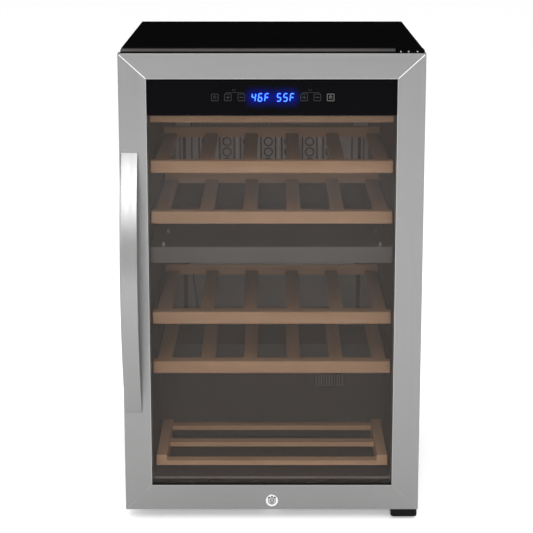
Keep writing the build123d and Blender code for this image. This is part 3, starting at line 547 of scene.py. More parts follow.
def piece_from(bm, name, material, bevel=0.0, segments=2, smooth=True):
    """Object from a bmesh, outward normals, optional bevel, one material."""
    bmesh.ops.remove_doubles(bm, verts=bm.verts, dist=1e-6)
    bmesh.ops.recalc_face_normals(bm, faces=bm.faces)
    mesh = bpy.data.meshes.new(name)
    bm.to_mesh(mesh)
    bm.free()
    mesh.materials.append(MATERIALS[material])
    piece = bpy.data.objects.new(name, mesh)
    bpy.context.scene.collection.objects.link(piece)
    if bevel:
        soften(piece, bevel, segments)
    if smooth:
        smooth_by_angle(mesh)
    return piece


def soften(piece, width, segments=2):
    """Bevel modifier on sharp edges."""
    edge = piece.modifiers.new("rounded_edges", "BEVEL")
    edge.width = width
    edge.segments = segments
    edge.limit_method = "ANGLE"
    edge.angle_limit = math.radians(35)
    edge.harden_normals = True


def smooth_by_angle(mesh, angle=math.radians(35)):
    """Smooth faces with sharp edges kept above an angle."""
    for face in mesh.polygons:
        face.use_smooth = True
    mesh.set_sharp_from_angle(angle=angle)


def place(piece, body, slot, *nodes):
    """Rides a finished piece on its body and hides the nodes that it stands for; the slot is not used."""
    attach(piece, body)
    if nodes:
        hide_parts(*nodes)


# ---- Geometry Nodes: trees for what repeats ----


def start_tree(name, *inputs):
    """New geometry tree; the material comes last."""
    inputs = (("Geometry", "Geometry", None), *inputs, ("Material", "Material", None))
    return open_tree(name, "GeometryNodeTree", inputs, (("Geometry", "Geometry"),))


def end_tree(tree, geometry, material):
    """Realize, give the material and send to the output."""
    real = add(tree, "GeometryNodeRealizeInstances", {0: geometry}).outputs[0]
    coated = add(tree, "GeometryNodeSetMaterial", {"Geometry": real, "Material": material}).outputs[0]
    add(tree, "NodeGroupOutput", {0: coated})


def rounded_profile(tree, width, height, radius, segments=3):
    """Closed rounded rectangle curve."""
    shape = add(tree, "GeometryNodeCurvePrimitiveQuadrilateral", {"Width": width, "Height": height})
    inputs = {"Curve": shape.outputs[0], "Radius": radius, "Count": segments}
    return add(tree, "GeometryNodeFilletCurve", inputs, mode="POLY").outputs[0]


def circle(tree, radius, sides):
    """Closed round curve."""
    inputs = {"Resolution": sides, "Radius": radius}
    return add(tree, "GeometryNodeCurvePrimitiveCircle", inputs).outputs[0]


def sweep(tree, path, profile, caps=False):
    """Mesh of a profile carried along a path."""
    inputs = {"Curve": path, "Profile Curve": profile, "Fill Caps": caps}
    return add(tree, "GeometryNodeCurveToMesh", inputs).outputs[0]


def copies_on(tree, points, shape):
    """One copy of a shape on every point."""
    return add(tree, "GeometryNodeInstanceOnPoints", {"Points": points, "Instance": shape}).outputs[0]


def upright(tree, geometry, centre):
    """Flat geometry stood up to face -Y at a centre."""
    inputs = {"Geometry": geometry, "Rotation": (math.radians(90), 0, 0), "Translation": centre}
    return add(tree, "GeometryNodeTransform", inputs).outputs[0]


def bar_row_tree():
    """Rounded bars side by side: slats, ribs, fins and strips."""
    tree, given, keys = start_tree(
        "bar_row",
        ("Start", "Vector", None),
        ("End", "Vector", None),
        ("Step", "Vector", None),
        ("Count", "Int", 6),
        ("Width", "Float", 0.02),
        ("Height", "Float", 0.01),
        ("Rounding", "Float", 0.001),
    )
    line = add(tree, "GeometryNodeCurvePrimitiveLine", {"Start": given["Start"], "End": given["End"]})
    profile = rounded_profile(tree, given["Width"], given["Height"], given["Rounding"])
    bar = sweep(tree, line.outputs[0], profile, caps=True)
    spots = add(tree, "GeometryNodeMeshLine", {"Count": given["Count"], "Offset": given["Step"]})
    end_tree(tree, copies_on(tree, spots.outputs[0], bar), given["Material"])
    return tree, keys


def ring_grid_tree():
    """Pressed rings in columns and rows on an upright sheet."""
    tree, given, keys = start_tree(
        "ring_grid",
        ("Centre", "Vector", None),
        ("Columns", "Int", 7),
        ("Rows", "Int", 12),
        ("Column Pitch", "Float", 0.04),
        ("Row Pitch", "Float", 0.02),
        ("Ring Radius", "Float", 0.007),
        ("Wire Radius", "Float", 0.0015),
    )
    sizes = {"Vertices X": given["Columns"], "Vertices Y": given["Rows"]}
    for count, pitch, size in (("Columns", "Column Pitch", "Size X"), ("Rows", "Row Pitch", "Size Y")):
        gaps = maths(tree, "SUBTRACT", given[count], 1)
        sizes[size] = maths(tree, "MULTIPLY", gaps, given[pitch])
    grid = add(tree, "GeometryNodeMeshGrid", sizes).outputs[0]
    ring = sweep(tree, circle(tree, given["Ring Radius"], 20), circle(tree, given["Wire Radius"], 6))
    end_tree(tree, upright(tree, copies_on(tree, grid, ring), given["Centre"]), given["Material"])
    return tree, keys


def frame_path_tree():
    """Closed rounded rectangle, upright, swept with a round wire: the liner's lip."""
    tree, given, keys = start_tree(
        "frame_path",
        ("Centre", "Vector", None),
        ("Width", "Float", 0.4),
        ("Height", "Float", 0.7),
        ("Corner", "Float", 0.012),
        ("Wire Radius", "Float", 0.0015),
    )
    path = rounded_profile(tree, given["Width"], given["Height"], given["Corner"], 8)
    lip = sweep(tree, path, circle(tree, given["Wire Radius"], 10))
    end_tree(tree, upright(tree, lip, given["Centre"]), given["Material"])
    return tree, keys


TREES = {}


def tree_named(name):
    """The geometry tree of that name, made on first use."""
    makers = {"bars": bar_row_tree, "rings": ring_grid_tree, "path": frame_path_tree}
    if name not in TREES:
        TREES[name] = makers[name]()
    return TREES[name]


def grown(name, tree_name, values, points=()):
    """Piece made by a geometry tree: the evaluated result as a plain mesh, modifier removed."""
    tree, keys = tree_named(tree_name)
    seed = bpy.data.meshes.new(name)
    seed.from_pydata([tuple(p) for p in points] or [(0, 0, 0)], [], [])
    piece = bpy.data.objects.new(name, seed)
    bpy.context.scene.collection.objects.link(piece)
    grower = piece.modifiers.new(tree_name, "NODES")
    grower.node_group = tree
    for label, value in values.items():
        grower[keys[label]] = MATERIALS[value] if label == "Material" else value
    evaluated = piece.evaluated_get(bpy.context.evaluated_depsgraph_get())
    mesh = bpy.data.meshes.new_from_object(evaluated)
    piece.modifiers.remove(grower)
    piece.data = mesh
    mesh.name = name
    smooth_by_angle(mesh)
    return piece


def bar_row(name, start, end, pitch, count, section, material):
    """Equal bars side by side along X; section is width, height and rounding."""
    width, height, rounding = section
    return grown(name, "bars", {
        "Start": start, "End": end, "Step": (pitch, 0, 0), "Count": count,
        "Width": width, "Height": height, "Rounding": rounding, "Material": material,
    })


# ---- Operators: one for each piece or group of like pieces ----


class CoolerOperator(bpy.types.Operator):
    """Base of the builders."""

    bl_options = {"REGISTER"}

    def execute(self, context):
        self.build(context.scene)
        return {"FINISHED"}


class COOLER_OT_finishes(CoolerOperator):
    """Makes every material."""

    bl_idname = "cooler.finishes"
    bl_label = "Finishes"

    def build(self, scene):
        make_materials(scene.cooler_finishes)


class COOLER_OT_door_frame(CoolerOperator):
    """Mitred stainless rails and stiles with bevelled edges."""

    bl_idname = "cooler.door_frame"
    bl_label = "Door frame"

    def build(self, scene):
        half, low, high = stile_high.x, stile_low.z, stile_high.z
        back = stile_high.y
        mitre = 0.1 * MM
        wrap = DOOR_FRONT + 4 * MM
        rails, caps, stiles, ledge = (bmesh.new() for _ in range(4))
        for edge, inner in ((high, WINDOW_HIGH), (low, WINDOW_LOW)):
            outline = [(-half + mitre, edge), (half - mitre, edge), (WINDOW_HALF - mitre, inner),
                       (-WINDOW_HALF + mitre, inner)]
            prism(rails, outline, DOOR_FRONT, wrap)
            drop = 0.6 * MM if edge < inner else -0.6 * MM
            inside = [(-half + 2 * MM, edge + drop), (half - 2 * MM, edge + drop), *outline[2:]]
            prism(caps, inside, wrap, back)
        for side in (-1, 1):
            prism(
                stiles,
                ((side * half, low + mitre), (side * half, high - mitre),
                 (side * WINDOW_HALF, WINDOW_HIGH - mitre), (side * WINDOW_HALF, WINDOW_LOW + mitre)),
                DOOR_FRONT, back,
            )
        bevel = scene.cooler_door.frame_bevel
        rail_skin = piece_from(rails, "rail_skins", "steel_along_x", bevel, 3)
        stile_skin = piece_from(stiles, "stile_skins", "steel_along_z", bevel, 3)
        place(rail_skin, "door", "stainless", "door_rails")
        place(stile_skin, "door", "stainless", "door_stiles")
        place(piece_from(caps, "rail_caps", "deep_black", 0.5 * MM), "door", "black_plastic")
        # Pale sheets on the inner frame's sill and flanks: painted light on the black frame.
        reach, depth = WINDOW_HALF + 1 * MM, (back - 3 * MM, back + 11 * MM)
        sill = WINDOW_LOW - 1 * MM
        top = housing_low.z - 14 * MM
        box_mesh(ledge, (-reach, depth[0], sill), (reach, depth[1], sill + 0.3 * MM))
        for side in (-1, 1):
            edges = sorted((side * reach, side * (reach - 0.3 * MM)))
            box_mesh(ledge, (edges[0], depth[0], sill + 0.3 * MM), (edges[1], depth[1], top))
        place(piece_from(ledge, "window_ledge", "ledge_sheet"), "door", "black_plastic")
        # Strips of brighter steel on the frame's face: painted highlights where the mitres and the window's
        # edge catch the light.
        for name, tops, material in (
            ("mitre_lines", True, "steel_polished"), ("window_lines", False, "steel_edge"),
        ):
            place(self.edges(name, half, low, high, tops, material), "door", "stainless")

    @staticmethod
    def edges(name, half, low, high, tops, material):
        """Painted highlight lines of brighter steel: along the upper mitres, or along the lower mitres and
        round the window.
        """
        bm = bmesh.new()
        front, sunk = DOOR_FRONT - 0.05 * MM, DOOR_FRONT + 0.4 * MM
        for side in (-1, 1):
            for edge, inner, wide in ((high, WINDOW_HIGH, 0.6 * MM), (low, WINDOW_LOW, 0.35 * MM)):
                if tops != (edge == high):
                    continue
                outer = Vector((side * half, edge))
                corner = Vector((side * WINDOW_HALF, inner))
                along = (corner - outer).normalized()
                across = Vector((-along.y, along.x)) * wide
                outer += along * 2.5 * MM
                corners = (outer + across, outer - across, corner - across, corner + across)
                prism(bm, corners, front, sunk)
        line = 0.9 * MM
        if not tops:
            inner = (WINDOW_HALF, WINDOW_LOW, WINDOW_HIGH)
            outer = (WINDOW_HALF + line, WINDOW_LOW - line, WINDOW_HIGH + line)
            border(bm, inner, outer, front, DOOR_FRONT + 3 * MM)
        return piece_from(bm, name, material)


class COOLER_OT_handle(CoolerOperator):
    """Bowed flat strap with rounded edges."""

    bl_idname = "cooler.handle"
    bl_label = "Handle"

    def build(self, scene):
        sizes = scene.cooler_door
        strap, foot = 7 * MM, 26 * MM
        reach = DOOR_FRONT - handle_low.y
        middle_z = (handle_low.z + handle_high.z) / 2
        chord = (handle_high.z - handle_low.z) / 2
        outer = self.arc(chord, reach, sizes.handle_steps)
        inner = self.arc(chord - foot, reach - strap, sizes.handle_steps)
        left, right = handle_low.x, handle_high.x
        bm = bmesh.new()
        loft(bm, [
            [(x, DOOR_FRONT - out, middle_z + up)
             for x, (up, out) in ((left, face), (right, face), (right, rear), (left, rear))]
            for face, rear in zip(outer, inner)
        ])
        piece = piece_from(bm, "handle_strap", "steel_handle", sizes.handle_bevel, 3)
        place(piece, "door", "stainless", "handle")

    @staticmethod
    def arc(half_chord, rise, steps):
        """Points (up, out) of a circular arc over a chord."""
        radius = (half_chord ** 2 + rise ** 2) / (2 * rise)
        reach = math.asin(half_chord / radius)
        points = []
        for step in range(steps + 1):
            angle = -reach + 2 * reach * step / steps
            points.append((radius * math.sin(angle), radius * math.cos(angle) - (radius - rise)))
        return points


SEGMENTS = {"4": "fgbc", "6": "afgedc", "5": "afgcd", "F": "afge"}
ENDS = {
    "a": ((0, 1), (1, 1)), "b": ((1, 1), (1, 0.5)), "c": ((1, 0.5), (1, 0)), "d": ((0, 0), (1, 0)),
    "e": ((0, 0), (0, 0.5)), "f": ((0, 0.5), (0, 1)), "g": ((0, 0.5), (1, 0.5)),
}


class COOLER_OT_controls(CoolerOperator):
    """Gloss control band with blue digits and touch keys."""

    bl_idname = "cooler.controls"
    bl_label = "Controls"

    def build(self, scene):
        band = bmesh.new()
        box_mesh(
            band,
            (-WINDOW_HALF + 0.3 * MM, GLASS_FRONT - 0.5 * MM, housing_low.z - 8 * MM),
            (WINDOW_HALF - 0.3 * MM, GLASS_FRONT - 0.05 * MM, WINDOW_HIGH - 0.3 * MM),
        )
        place(piece_from(band, "control_band", "digit_halo", 0.15 * MM), "door", "black_plastic")
        sizes = scene.cooler_door
        middle_z = (board_low.z + board_high.z) / 2
        digits = bmesh.new()
        for text, start in ((sizes.left_text, -33.2 * MM), (sizes.right_text, 8.0 * MM)):
            for index, sign in enumerate(text):
                self.digit(digits, sign, start + index * sizes.digit_pitch, middle_z, sizes)
        place(piece_from(digits, "read_out_digits", "digit_blue"), "door", "light_diffuser")
        keys, lit = bmesh.new(), bmesh.new()
        self.keys(keys, lit, middle_z)
        place(piece_from(keys, "key_signs", "key_print"), "door", "light_diffuser")
        place(piece_from(lit, "key_lamp_sign", "key_lit"), "door", "light_diffuser")

    @staticmethod
    def flat_bar(bm, first, second, thickness):
        """Thin printed bar between two (x, z) points on the band."""
        first, second = Vector(first), Vector(second)
        along = (second - first).normalized() * thickness / 2
        across = Vector((-along.y, along.x))
        corners = (first + across, first - along, first - across, second - across, second + along,
                   second + across)
        prism(bm, corners, GLASS_FRONT - 0.75 * MM, GLASS_FRONT - 0.5 * MM)

    def digit(self, bm, sign, x, middle_z, sizes):
        """One slanted seven-segment digit whose lower left corner is at x."""
        tall = sizes.digit_height
        wide, thick, slant = tall * 0.46, tall * 0.13, 0.12
        low = middle_z - tall / 2
        for segment in SEGMENTS[sign]:
            first, second = (
                Vector((x + across * wide + slant * up * tall, low + up * tall))
                for across, up in ENDS[segment]
            )
            inset = (second - first).normalized() * thick * 0.6
            self.flat_bar(bm, first + inset, second - inset, thick)

    def keys(self, keys, lit, middle_z):
        """Touch keys: rounded squares with power, plus, minus and lamp signs."""
        size = 11 * MM
        line = 0.8 * MM
        arm = size * 0.26
        centres = (-93 * MM, -71.7 * MM, -49.7 * MM, 52.5 * MM, 74 * MM, 95.7 * MM)
        signs = ("power", "plus", "minus", "plus", "minus", "lamp")
        for x, sign in zip(centres, signs):
            target = lit if sign == "lamp" else keys
            self.ring(target, (x, middle_z), size / math.sqrt(2), line, 4)
            if sign in ("plus", "minus"):
                self.flat_bar(target, (x - arm, middle_z), (x + arm, middle_z), line * 1.3)
            if sign == "plus":
                self.flat_bar(target, (x, middle_z - arm), (x, middle_z + arm), line * 1.3)
            if sign in ("power", "lamp"):
                self.ring(target, (x, middle_z), arm * 0.8, line)
                self.flat_bar(target, (x, middle_z), (x, middle_z + arm * 1.3), line)
        for left, right in ((centres[1], centres[2]), (centres[3], centres[4])):
            up = middle_z + size * 0.72
            fine = line * 0.7
            self.flat_bar(keys, (left - 3 * MM, up), (right + 3 * MM, up), fine)
            for x in (left - 3 * MM, right + 3 * MM):
                self.flat_bar(keys, (x, up - 2 * MM), (x, up), fine)
            middle = (left + right) / 2
            mark = middle + 1 * MM
            self.ring(keys, (middle - 2.2 * MM, up + 4 * MM), 1.3 * MM, fine)
            self.flat_bar(keys, (mark, up + 2.6 * MM), (mark, up + 5.4 * MM), fine)

    def ring(self, bm, middle, radius, line, sides=14):
        """Outline of a round or square sign."""
        first = 180 / sides if sides == 4 else 0
        spots = [round_spot(middle, radius, first + 360 * step / sides) for step in range(sides + 1)]
        for here, there in zip(spots, spots[1:]):
            self.flat_bar(bm, here, there, line)


class COOLER_OT_lock(CoolerOperator):
    """Dark key slot, pin and notches on the lock's face."""

    bl_idname = "cooler.lock"
    bl_label = "Lock"

    def build(self, scene):
        bezel_low, bezel_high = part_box("lock_housing")
        middle = (bezel_low + bezel_high) / 2
        barrel_rings = ((2.6, 3.7, 0, 360), (0.1, 0.9, 0, 360), (3.6, 5.2, 262, 278))
        notches = tuple((7.0, 9.0, angle - 13, angle + 13) for angle in (48, 90, 132))
        for name, body, face, bands in (
            ("key_slot", "lock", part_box("lock_barrel")[0].y, barrel_rings),
            ("bezel_notches", "door", bezel_low.y, ((6.0, 6.8, 0, 360), *notches)),
        ):
            bm = bmesh.new()
            for inner, outer, first, last in bands:
                self.band(bm, middle, inner * MM, outer * MM, face - 0.15 * MM, first, last)
            place(piece_from(bm, name, "black_plastic", smooth=False), body, "black_plastic")

    @staticmethod
    def band(bm, middle, inner, outer, front, first, last):
        """Flat ring segment facing the front, between two angles in degrees."""
        full = last - first >= 360
        steps = max(2, round((last - first) / 12))
        back = front + 0.3 * MM
        rings = []
        for step in range(steps + (0 if full else 1)):
            degrees = first + (last - first) * step / steps
            spots = [(round_spot((middle.x, middle.z), radius, degrees), depth) for radius, depth in (
                (inner, front), (outer, front), (outer, back), (inner, back),
            )]
            rings.append([(spot.x, depth, spot.y) for spot, depth in spots])
        loft(bm, rings, full)


class COOLER_OT_cabinet(CoolerOperator):
    """Bevelled outer skin, top plate, rivets and studs, and the liner's flange and lip."""

    bl_idname = "cooler.cabinet"
    bl_label = "Cabinet"

    def build(self, scene):
        sheet, corner, steps = 1.2 * MM, 4 * MM, 6
        half, top, low = shell_high.x, shell_high.z - 0.5 * MM, shell_low.z
        front, back = shell_low.y, shell_high.y
        inset = half - 1.5 * MM
        plate = bmesh.new()
        box_mesh(plate, (-inset, front, top - 0.2 * MM), (inset, back, shell_high.z))
        place(piece_from(plate, "top_plate", "deep_black", 0.3 * MM), "cabinet", "black_steel")
        spots = [((-half, low), (-half + sheet, low))]
        for side, start in ((-1, 180), (1, 90)):
            centre = (side * (half - corner), top - corner)
            for step in range(steps + 1):
                degrees = start - 90 * step / steps
                spots.append([round_spot(centre, radius, degrees) for radius in (corner, corner - sheet)])
        spots.append(((half, low), (half - sheet, low)))
        bm = bmesh.new()
        rings = []
        for outer, inner in spots:
            corners = ((outer, front), (outer, back), (inner, back), (inner, front))
            rings.append([(x, depth, z) for (x, z), depth in corners])
        loft(bm, rings)
        skin = piece_from(bm, "cabinet_skin", "cabinet_paint", 0.4 * MM, 2)
        place(skin, "cabinet", "black_steel", "cabinet_shell")
        # Bead along the top's front edge in lighter paint: a painted highlight line.
        fold_end, fold_y, fold_z = half - 3 * MM, front + 0.6 * MM, top - 0.3 * MM
        fold = bar_row(
            "front_fold", (-fold_end, fold_y, fold_z), (fold_end, fold_y, fold_z), 0, 1,
            (1.4 * MM, 1.4 * MM, 0.4 * MM), "edge_paint",
        )
        place(fold, "cabinet", "black_steel")
        plate_low, plate_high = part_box("upper_hinge_bracket")
        heads = bmesh.new()
        for along in (0.12, 0.4, 0.72):
            x = plate_low.x + along * (plate_high.x - plate_low.x)
            z = plate_high.z - 1.3 * MM
            tube_between(heads, (x, plate_low.y - 0.5 * MM, z), (x, plate_low.y + 0.4 * MM, z), 1.1 * MM)
        place(piece_from(heads, "plate_rivets", "steel_polished"), "cabinet", "plated_steel")
        studs = bmesh.new()
        for x, depth in ((183.5, 66), (181.4, 174)):
            for side in (-1, 1):
                foot = (side * x * MM, DOOR_FRONT + depth * MM, divider_high.z + 1.1 * MM)
                head = (foot[0], foot[1], foot[2] + 7 * MM)
                tube_between(studs, foot, head, 2.2 * MM)
        place(piece_from(studs, "divider_studs", "plated", 0.5 * MM), "cabinet", "plated_steel")
        liner_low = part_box("inner_liner")[0]
        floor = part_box("rack_sides")[0].z - 0.3 * MM
        ceiling = covers_high.z + 14 * MM
        radius = scene.cooler_inside.lip_radius
        # Sheets over the liner's flange in a lighter copy of the liner plastic: painted light on the
        # front-facing flange.
        flange = bmesh.new()
        inner = (CAVITY_HALF + 1.5 * radius, floor - 1.5 * radius, ceiling + 1.5 * radius)
        outer = (inner[0] + 7 * MM, floor - 14 * MM, ceiling + 14 * MM)
        border(flange, inner, outer, liner_low.y - 0.25 * MM, liner_low.y + 0.5 * MM)
        place(piece_from(flange, "flange_face", "flange_sheet"), "cabinet", "liner_plastic")
        # Rolled lip round the cavity's mouth, in a lighter copy of the liner plastic: a painted highlight.
        lip = grown("liner_lip", "path", {
            "Centre": (0, liner_low.y + 0.2 * radius, (floor + ceiling) / 2),
            "Width": 2 * CAVITY_HALF + 2 * radius, "Height": ceiling - floor + 2 * radius,
            "Corner": 14 * MM, "Wire Radius": radius, "Material": "liner_lip_plastic",
        })
        place(lip, "cabinet", "liner_plastic")


class COOLER_OT_shelves(CoolerOperator):
    """Rounded slats for the five shelves; the bars keep the frame's shape."""

    bl_idname = "cooler.shelves"
    bl_label = "Shelves"

    def build(self, scene):
        sizes = scene.cooler_inside
        for number in SHELVES:
            low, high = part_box(f"shelf_{number}_slats")
            pitch = (high.x - low.x - sizes.slat_width) / (sizes.slat_count - 1)
            middle_z = (low.z + high.z) / 2
            first_x = low.x + sizes.slat_width / 2
            slats = bar_row(
                f"slats_{number}", (first_x, low.y, middle_z), (first_x, high.y, middle_z), pitch,
                sizes.slat_count, (sizes.slat_width, high.z - low.z, sizes.slat_round), "beech_y",
            )
            place(slats, f"shelf_{number}", "beech", f"shelf_{number}_slats")
            finish_node(f"shelf_{number}_bars", "beech_x")
            finish_node(f"shelf_{number}_runners", "dark_runner")
        # The bottom rack takes the lighter beech copies: painted light where the rack sits in shade.
        finish_node("rack_sides", "beech_pale_y")
        finish_node("rack_bars", "beech_pale_x")


class COOLER_OT_air_covers(CoolerOperator):
    """Rear covers: ribs and pressed rings above, plain sheet with a dark upright band at each side below."""

    bl_idname = "cooler.air_covers"
    bl_label = "Air covers"

    def build(self, scene):
        sizes = scene.cooler_inside
        front = covers_low.y
        column_pitch, row_pitch, wire = 38.7, 19.5, 1.4
        grid_middle, grid_low, slot_top = -6.7, 538, 612
        base = bmesh.new()
        box_mesh(base, (covers_low.x, front + 1 * MM, divider_high.z + 1.5 * MM), covers_high)
        lower_top = (covers_high.x, covers_high.y, divider_low.z - 1.3 * MM)
        box_mesh(base, covers_low + Vector((0, 1 * MM, 0)), lower_top)
        sheets = piece_from(base, "cover_sheets", "cover_sheet", 0.3 * MM)
        # A pale panel lies behind the rings; under it, lower_shade is a dark sheet of painted shade on the
        # lower part of the upper cover.
        for name, material, half, low, high in (
            ("ring_panel", "ring_sheet", 180 * MM, 536 * MM, 738 * MM),
            ("lower_shade", "dark_runner", 203 * MM, divider_high.z + 1.6 * MM, 534 * MM),
        ):
            sheet = bmesh.new()
            box_mesh(sheet, (-half, front + 0.9 * MM, low), (half, front + 1.3 * MM, high))
            place(piece_from(sheet, name, material), "cabinet", "liner_plastic")
        place(sheets, "cabinet", "liner_plastic", "air_covers")
        for name, low, rows in (
            ("cover_rings_low", 552.5, sizes.ring_rows - 3), ("cover_rings_high", 648, sizes.ring_rows - 2),
        ):
            middle_z = low + (rows - 1) * row_pitch / 2
            rings = grown(name, "rings", {
                "Centre": (grid_middle * MM, front + 0.6 * MM, middle_z * MM),
                "Columns": sizes.ring_columns, "Rows": rows, "Column Pitch": column_pitch * MM,
                "Row Pitch": row_pitch * MM, "Ring Radius": sizes.ring_radius - wire * MM,
                "Wire Radius": wire * MM, "Material": "cover_ring",
            })
            place(rings, "cabinet", "liner_plastic")
        first = grid_middle - column_pitch * (sizes.ring_columns - 1) / 2
        for name, shift, wide, material in (
            ("ribs_left", -13.5, 2.8, "cover_ring"), ("ribs_right", 13.5, 2.8, "cover_ring"),
            ("ribs_middle", 19.35, 3.4, "cover_rib"),
        ):
            for suffix, low, high in (("", grid_low, slot_top), ("_high", 636, covers_high.z / MM - 6)):
                self.bars(
                    name + suffix, first + shift, low, high, column_pitch, sizes.ring_columns, wide, material
                )
        self.bars("comb_fins", -150, 617, 631, 5, 61, 2.4)
        for name, x, wide in (
            ("side_lines", -164, 6), ("side_lines_2", -150, 2.4), ("side_lines_3", -172, 2.4),
        ):
            self.bars(name, x, grid_low, slot_top, -2 * x, 2, wide)
        # Two dark upright bands on the lower rear wall.
        self.bars("wall_strips", -164, 240, 434, 328, 2, 8)
        grille_low, grille_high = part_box("vent_grille")
        fin_x, fin_y = grille_low.x + 5 * MM, grille_low.y - 0.3 * MM
        window_z = grille_high.z - 8 * MM
        fin_low, fin_high = grille_low.z + 5 * MM, grille_high.z - 14 * MM
        for name, start, end, pitch, count, wide, material in (
            ("grille_fins", (fin_x, fin_y, fin_low), (fin_x, fin_y, fin_high), 4.8, 11, 2, "cover_sheet"),
            ("grille_window", (fin_x + 2 * MM, fin_y, window_z), (grille_high.x - 7 * MM, fin_y, window_z),
             0, 1, 8, "cover_ring"),
        ):
            row = bar_row(name, start, end, pitch * MM, count, (wide * MM, 1.2 * MM, 0.4 * MM), material)
            place(row, "cabinet", "liner_plastic")
        lead = bmesh.new()
        ends = [(x * MM, front - 1.5 * MM, z * MM) for x, z in ((-151, 345), (-140, 262))]
        tube_between(lead, *ends, 1.4 * MM)
        place(piece_from(lead, "sensor_rod", "black_plastic"), "cabinet", "black_plastic")

    @staticmethod
    def bars(name, x, low, high, pitch, count, wide, material="cover_ring"):
        """Row of thin raised upright bars on the rear cover, all in millimetres."""
        start, end = ((x * MM, covers_low.y + 0.6 * MM, z * MM) for z in (low, high))
        row = bar_row(name, start, end, pitch * MM, count, (wide * MM, 1.2 * MM, 0.4 * MM), material)
        place(row, "cabinet", "liner_plastic")


class COOLER_OT_kept_parts(CoolerOperator):
    """Finishes for the frame's own pieces that stay in view."""

    bl_idname = "cooler.kept_parts"
    bl_label = "Kept parts"

    def build(self, scene):
        finishes = {
            "cabinet_paint": ("rear_panel", "compressor", "condenser_coil"),
            "galvanised": ("base_tray", "compressor_cover"),
            "liner_plastic": ("inner_liner",),
            "foam_yellow": ("insulation_foam",),
            "black_plastic": (
                "control_housing", "power_inlet", "fan_frames", "upper_fan_rotor", "lower_fan_rotor",
                "hinge_bushes", "glass_spacer",
            ),
            "block_black": ("lower_hinge_bracket",),
            "deep_black": ("door_inner_frame", "upper_hinge_bracket"),
            "gasket_rubber": ("door_gasket", "compressor_mounts"),
            "foot_rubber": ("foot_front_left", "foot_front_right", "foot_rear_left", "foot_rear_right"),
            "aluminium": ("evaporator_coils",),
            "trim_grey": ("divider_trim",),
            "dark_runner": ("slide_rails", "zone_divider", "vent_grille"),
            "steel_polished": ("lock_housing",),
            "lamp_white": ("light_bars",),
            "plated": ("hinge_screws", "handle_screws", "lock_keeper", "lock_barrel", "lock_cam"),
            "glass_tinted": ("glass_outer",),
            "glass_clear": ("glass_inner",),
            "board_green": ("display_board",),
        }
        for material, nodes in finishes.items():
            for node in nodes:
                finish_node(node, material)


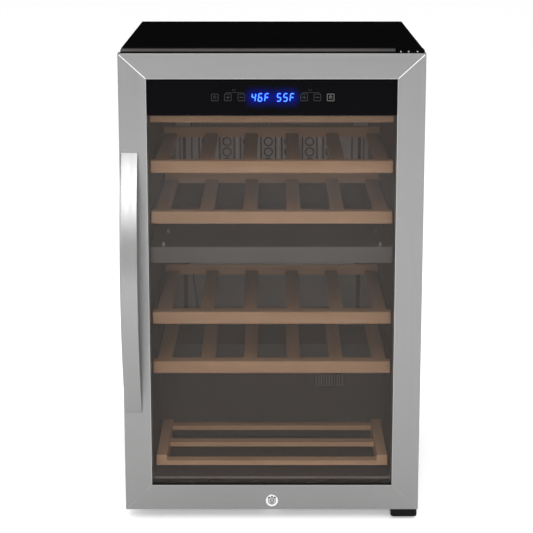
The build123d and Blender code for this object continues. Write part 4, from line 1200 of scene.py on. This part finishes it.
class COOLER_OT_stage(CoolerOperator):
    """Pale floor, soft lights, world and camera."""

    bl_idname = "cooler.stage"
    bl_label = "Stage"

    def build(self, scene):
        self.floor()
        self.world(scene)
        target = Vector((0, 0, cad_high.z / 2))
        for name, at, size, power in (
            ("light_over", (0.0, -0.2, 3.4), 3.0, 30),
            ("light_front", (-0.2, -3.4, 2.5), 1.8, 75),
            ("light_fill", (0.0, -3.6, 0.95), 1.5, 66),
            ("light_left", (-3.0, -1.8, 1.6), 2.0, 14),
            ("light_right", (3.0, -1.8, 1.6), 2.0, 14),
        ):
            lamp = bpy.data.lights.new(name, "AREA")
            lamp.shape = "SQUARE"
            lamp.size = size
            lamp.energy = power
            holder = bpy.data.objects.new(name, lamp)
            holder.location = at
            holder.rotation_euler = (target - Vector(at)).to_track_quat("-Z", "Y").to_euler()
            holder.visible_glossy = name != "light_fill"
            scene.collection.objects.link(holder)
        self.camera(scene)
        scene.view_settings.view_transform = "Standard"

    @staticmethod
    def floor():
        reach = 30.0
        corners = [(x * reach, y * reach, 0) for x, y in ((-1, -1), (1, -1), (1, 1), (-1, 1))]
        mesh = bpy.data.meshes.new("floor")
        mesh.from_pydata(corners, [], [(0, 1, 2, 3)])
        paint = bpy.data.materials.new("pale_floor")
        paint.use_nodes = True
        tune(
            paint.node_tree.nodes["Principled BSDF"].inputs, Base_Color=(0.86, 0.86, 0.86, 1), Roughness=0.9,
            Specular_IOR_Level=0.0, Emission_Color=(1, 1, 1, 1), Emission_Strength=0.3,
        )
        mesh.materials.append(paint)
        piece = bpy.data.objects.new("floor", mesh)
        bpy.context.scene.collection.objects.link(piece)

    @staticmethod
    def world(scene):
        """Even pale world to the camera; it lights mostly from above and in front."""
        world = bpy.data.worlds.new("studio")
        world.use_nodes = True
        tree = world.node_tree
        where = add(tree, "ShaderNodeTexCoord").outputs["Generated"]
        split = add(tree, "ShaderNodeSeparateXYZ", {0: where}).outputs
        height = remap(tree, split["Z"], 0.15, 0.75, 0.10, 0.95)
        front = remap(tree, split["Y"], 0.3, -0.6, 0.12, 0.75)
        level = grey(tree, maths(tree, "MAXIMUM", height, front))
        seen = add(tree, "ShaderNodeLightPath").outputs["Is Camera Ray"]
        background = tree.nodes["Background"].inputs
        tree.links.new(blend_colours(tree, seen, level, (0.93, 0.93, 0.93, 1)), background["Color"])
        tune(background, Strength=1.0)
        scene.world = world

    @staticmethod
    def camera(scene):
        """Looks down on the top from in front, at the cooler's middle."""
        lens = bpy.data.cameras.new("view")
        lens.sensor_width = 36.0
        lens.lens = 117.02
        lens.shift_x = -0.0101
        lens.shift_y = -0.04
        lens.dof.use_dof = False
        eye = bpy.data.objects.new("view", lens)
        eye.location = (0.0, DOOR_FRONT - 2.8, 1.107)
        eye.rotation_euler = (math.radians(90 - 12.549), 0, 0)
        scene.collection.objects.link(eye)
        scene.camera = eye


class COOLER_PT_panel(bpy.types.Panel):
    """Sidebar panel that lists the settings and the builders."""

    bl_idname = "COOLER_PT_panel"
    bl_label = "Wine Cooler"
    bl_space_type = "VIEW_3D"
    bl_region_type = "UI"
    bl_category = "Wine Cooler"

    def draw(self, context):
        layout = self.layout
        scene = context.scene
        for group in (scene.cooler_finishes, scene.cooler_door, scene.cooler_inside):
            box = layout.box()
            for name in group.__annotations__:
                box.prop(group, name)
        for operator in OPERATORS:
            layout.operator(operator.bl_idname)


OPERATORS = (
    COOLER_OT_finishes,
    COOLER_OT_stage,
    COOLER_OT_door_frame,
    COOLER_OT_handle,
    COOLER_OT_controls,
    COOLER_OT_lock,
    COOLER_OT_cabinet,
    COOLER_OT_shelves,
    COOLER_OT_air_covers,
    COOLER_OT_kept_parts,
)
GROUP_CLASSES = (CoolerFinishes, CoolerDoor, CoolerInside)
CLASSES = GROUP_CLASSES + OPERATORS + (COOLER_PT_panel,)


def register():
    for cls in CLASSES:
        bpy.utils.register_class(cls)
    bpy.types.Scene.cooler_finishes = PointerProperty(type=CoolerFinishes)
    bpy.types.Scene.cooler_door = PointerProperty(type=CoolerDoor)
    bpy.types.Scene.cooler_inside = PointerProperty(type=CoolerInside)


def unregister():
    del bpy.types.Scene.cooler_inside
    del bpy.types.Scene.cooler_door
    del bpy.types.Scene.cooler_finishes
    for cls in reversed(CLASSES):
        bpy.utils.unregister_class(cls)


def main():
    register()
    for operator in OPERATORS:
        family, name = operator.bl_idname.split(".")
        getattr(getattr(bpy.ops, family), name)()


if __name__ == "__main__":
    main()
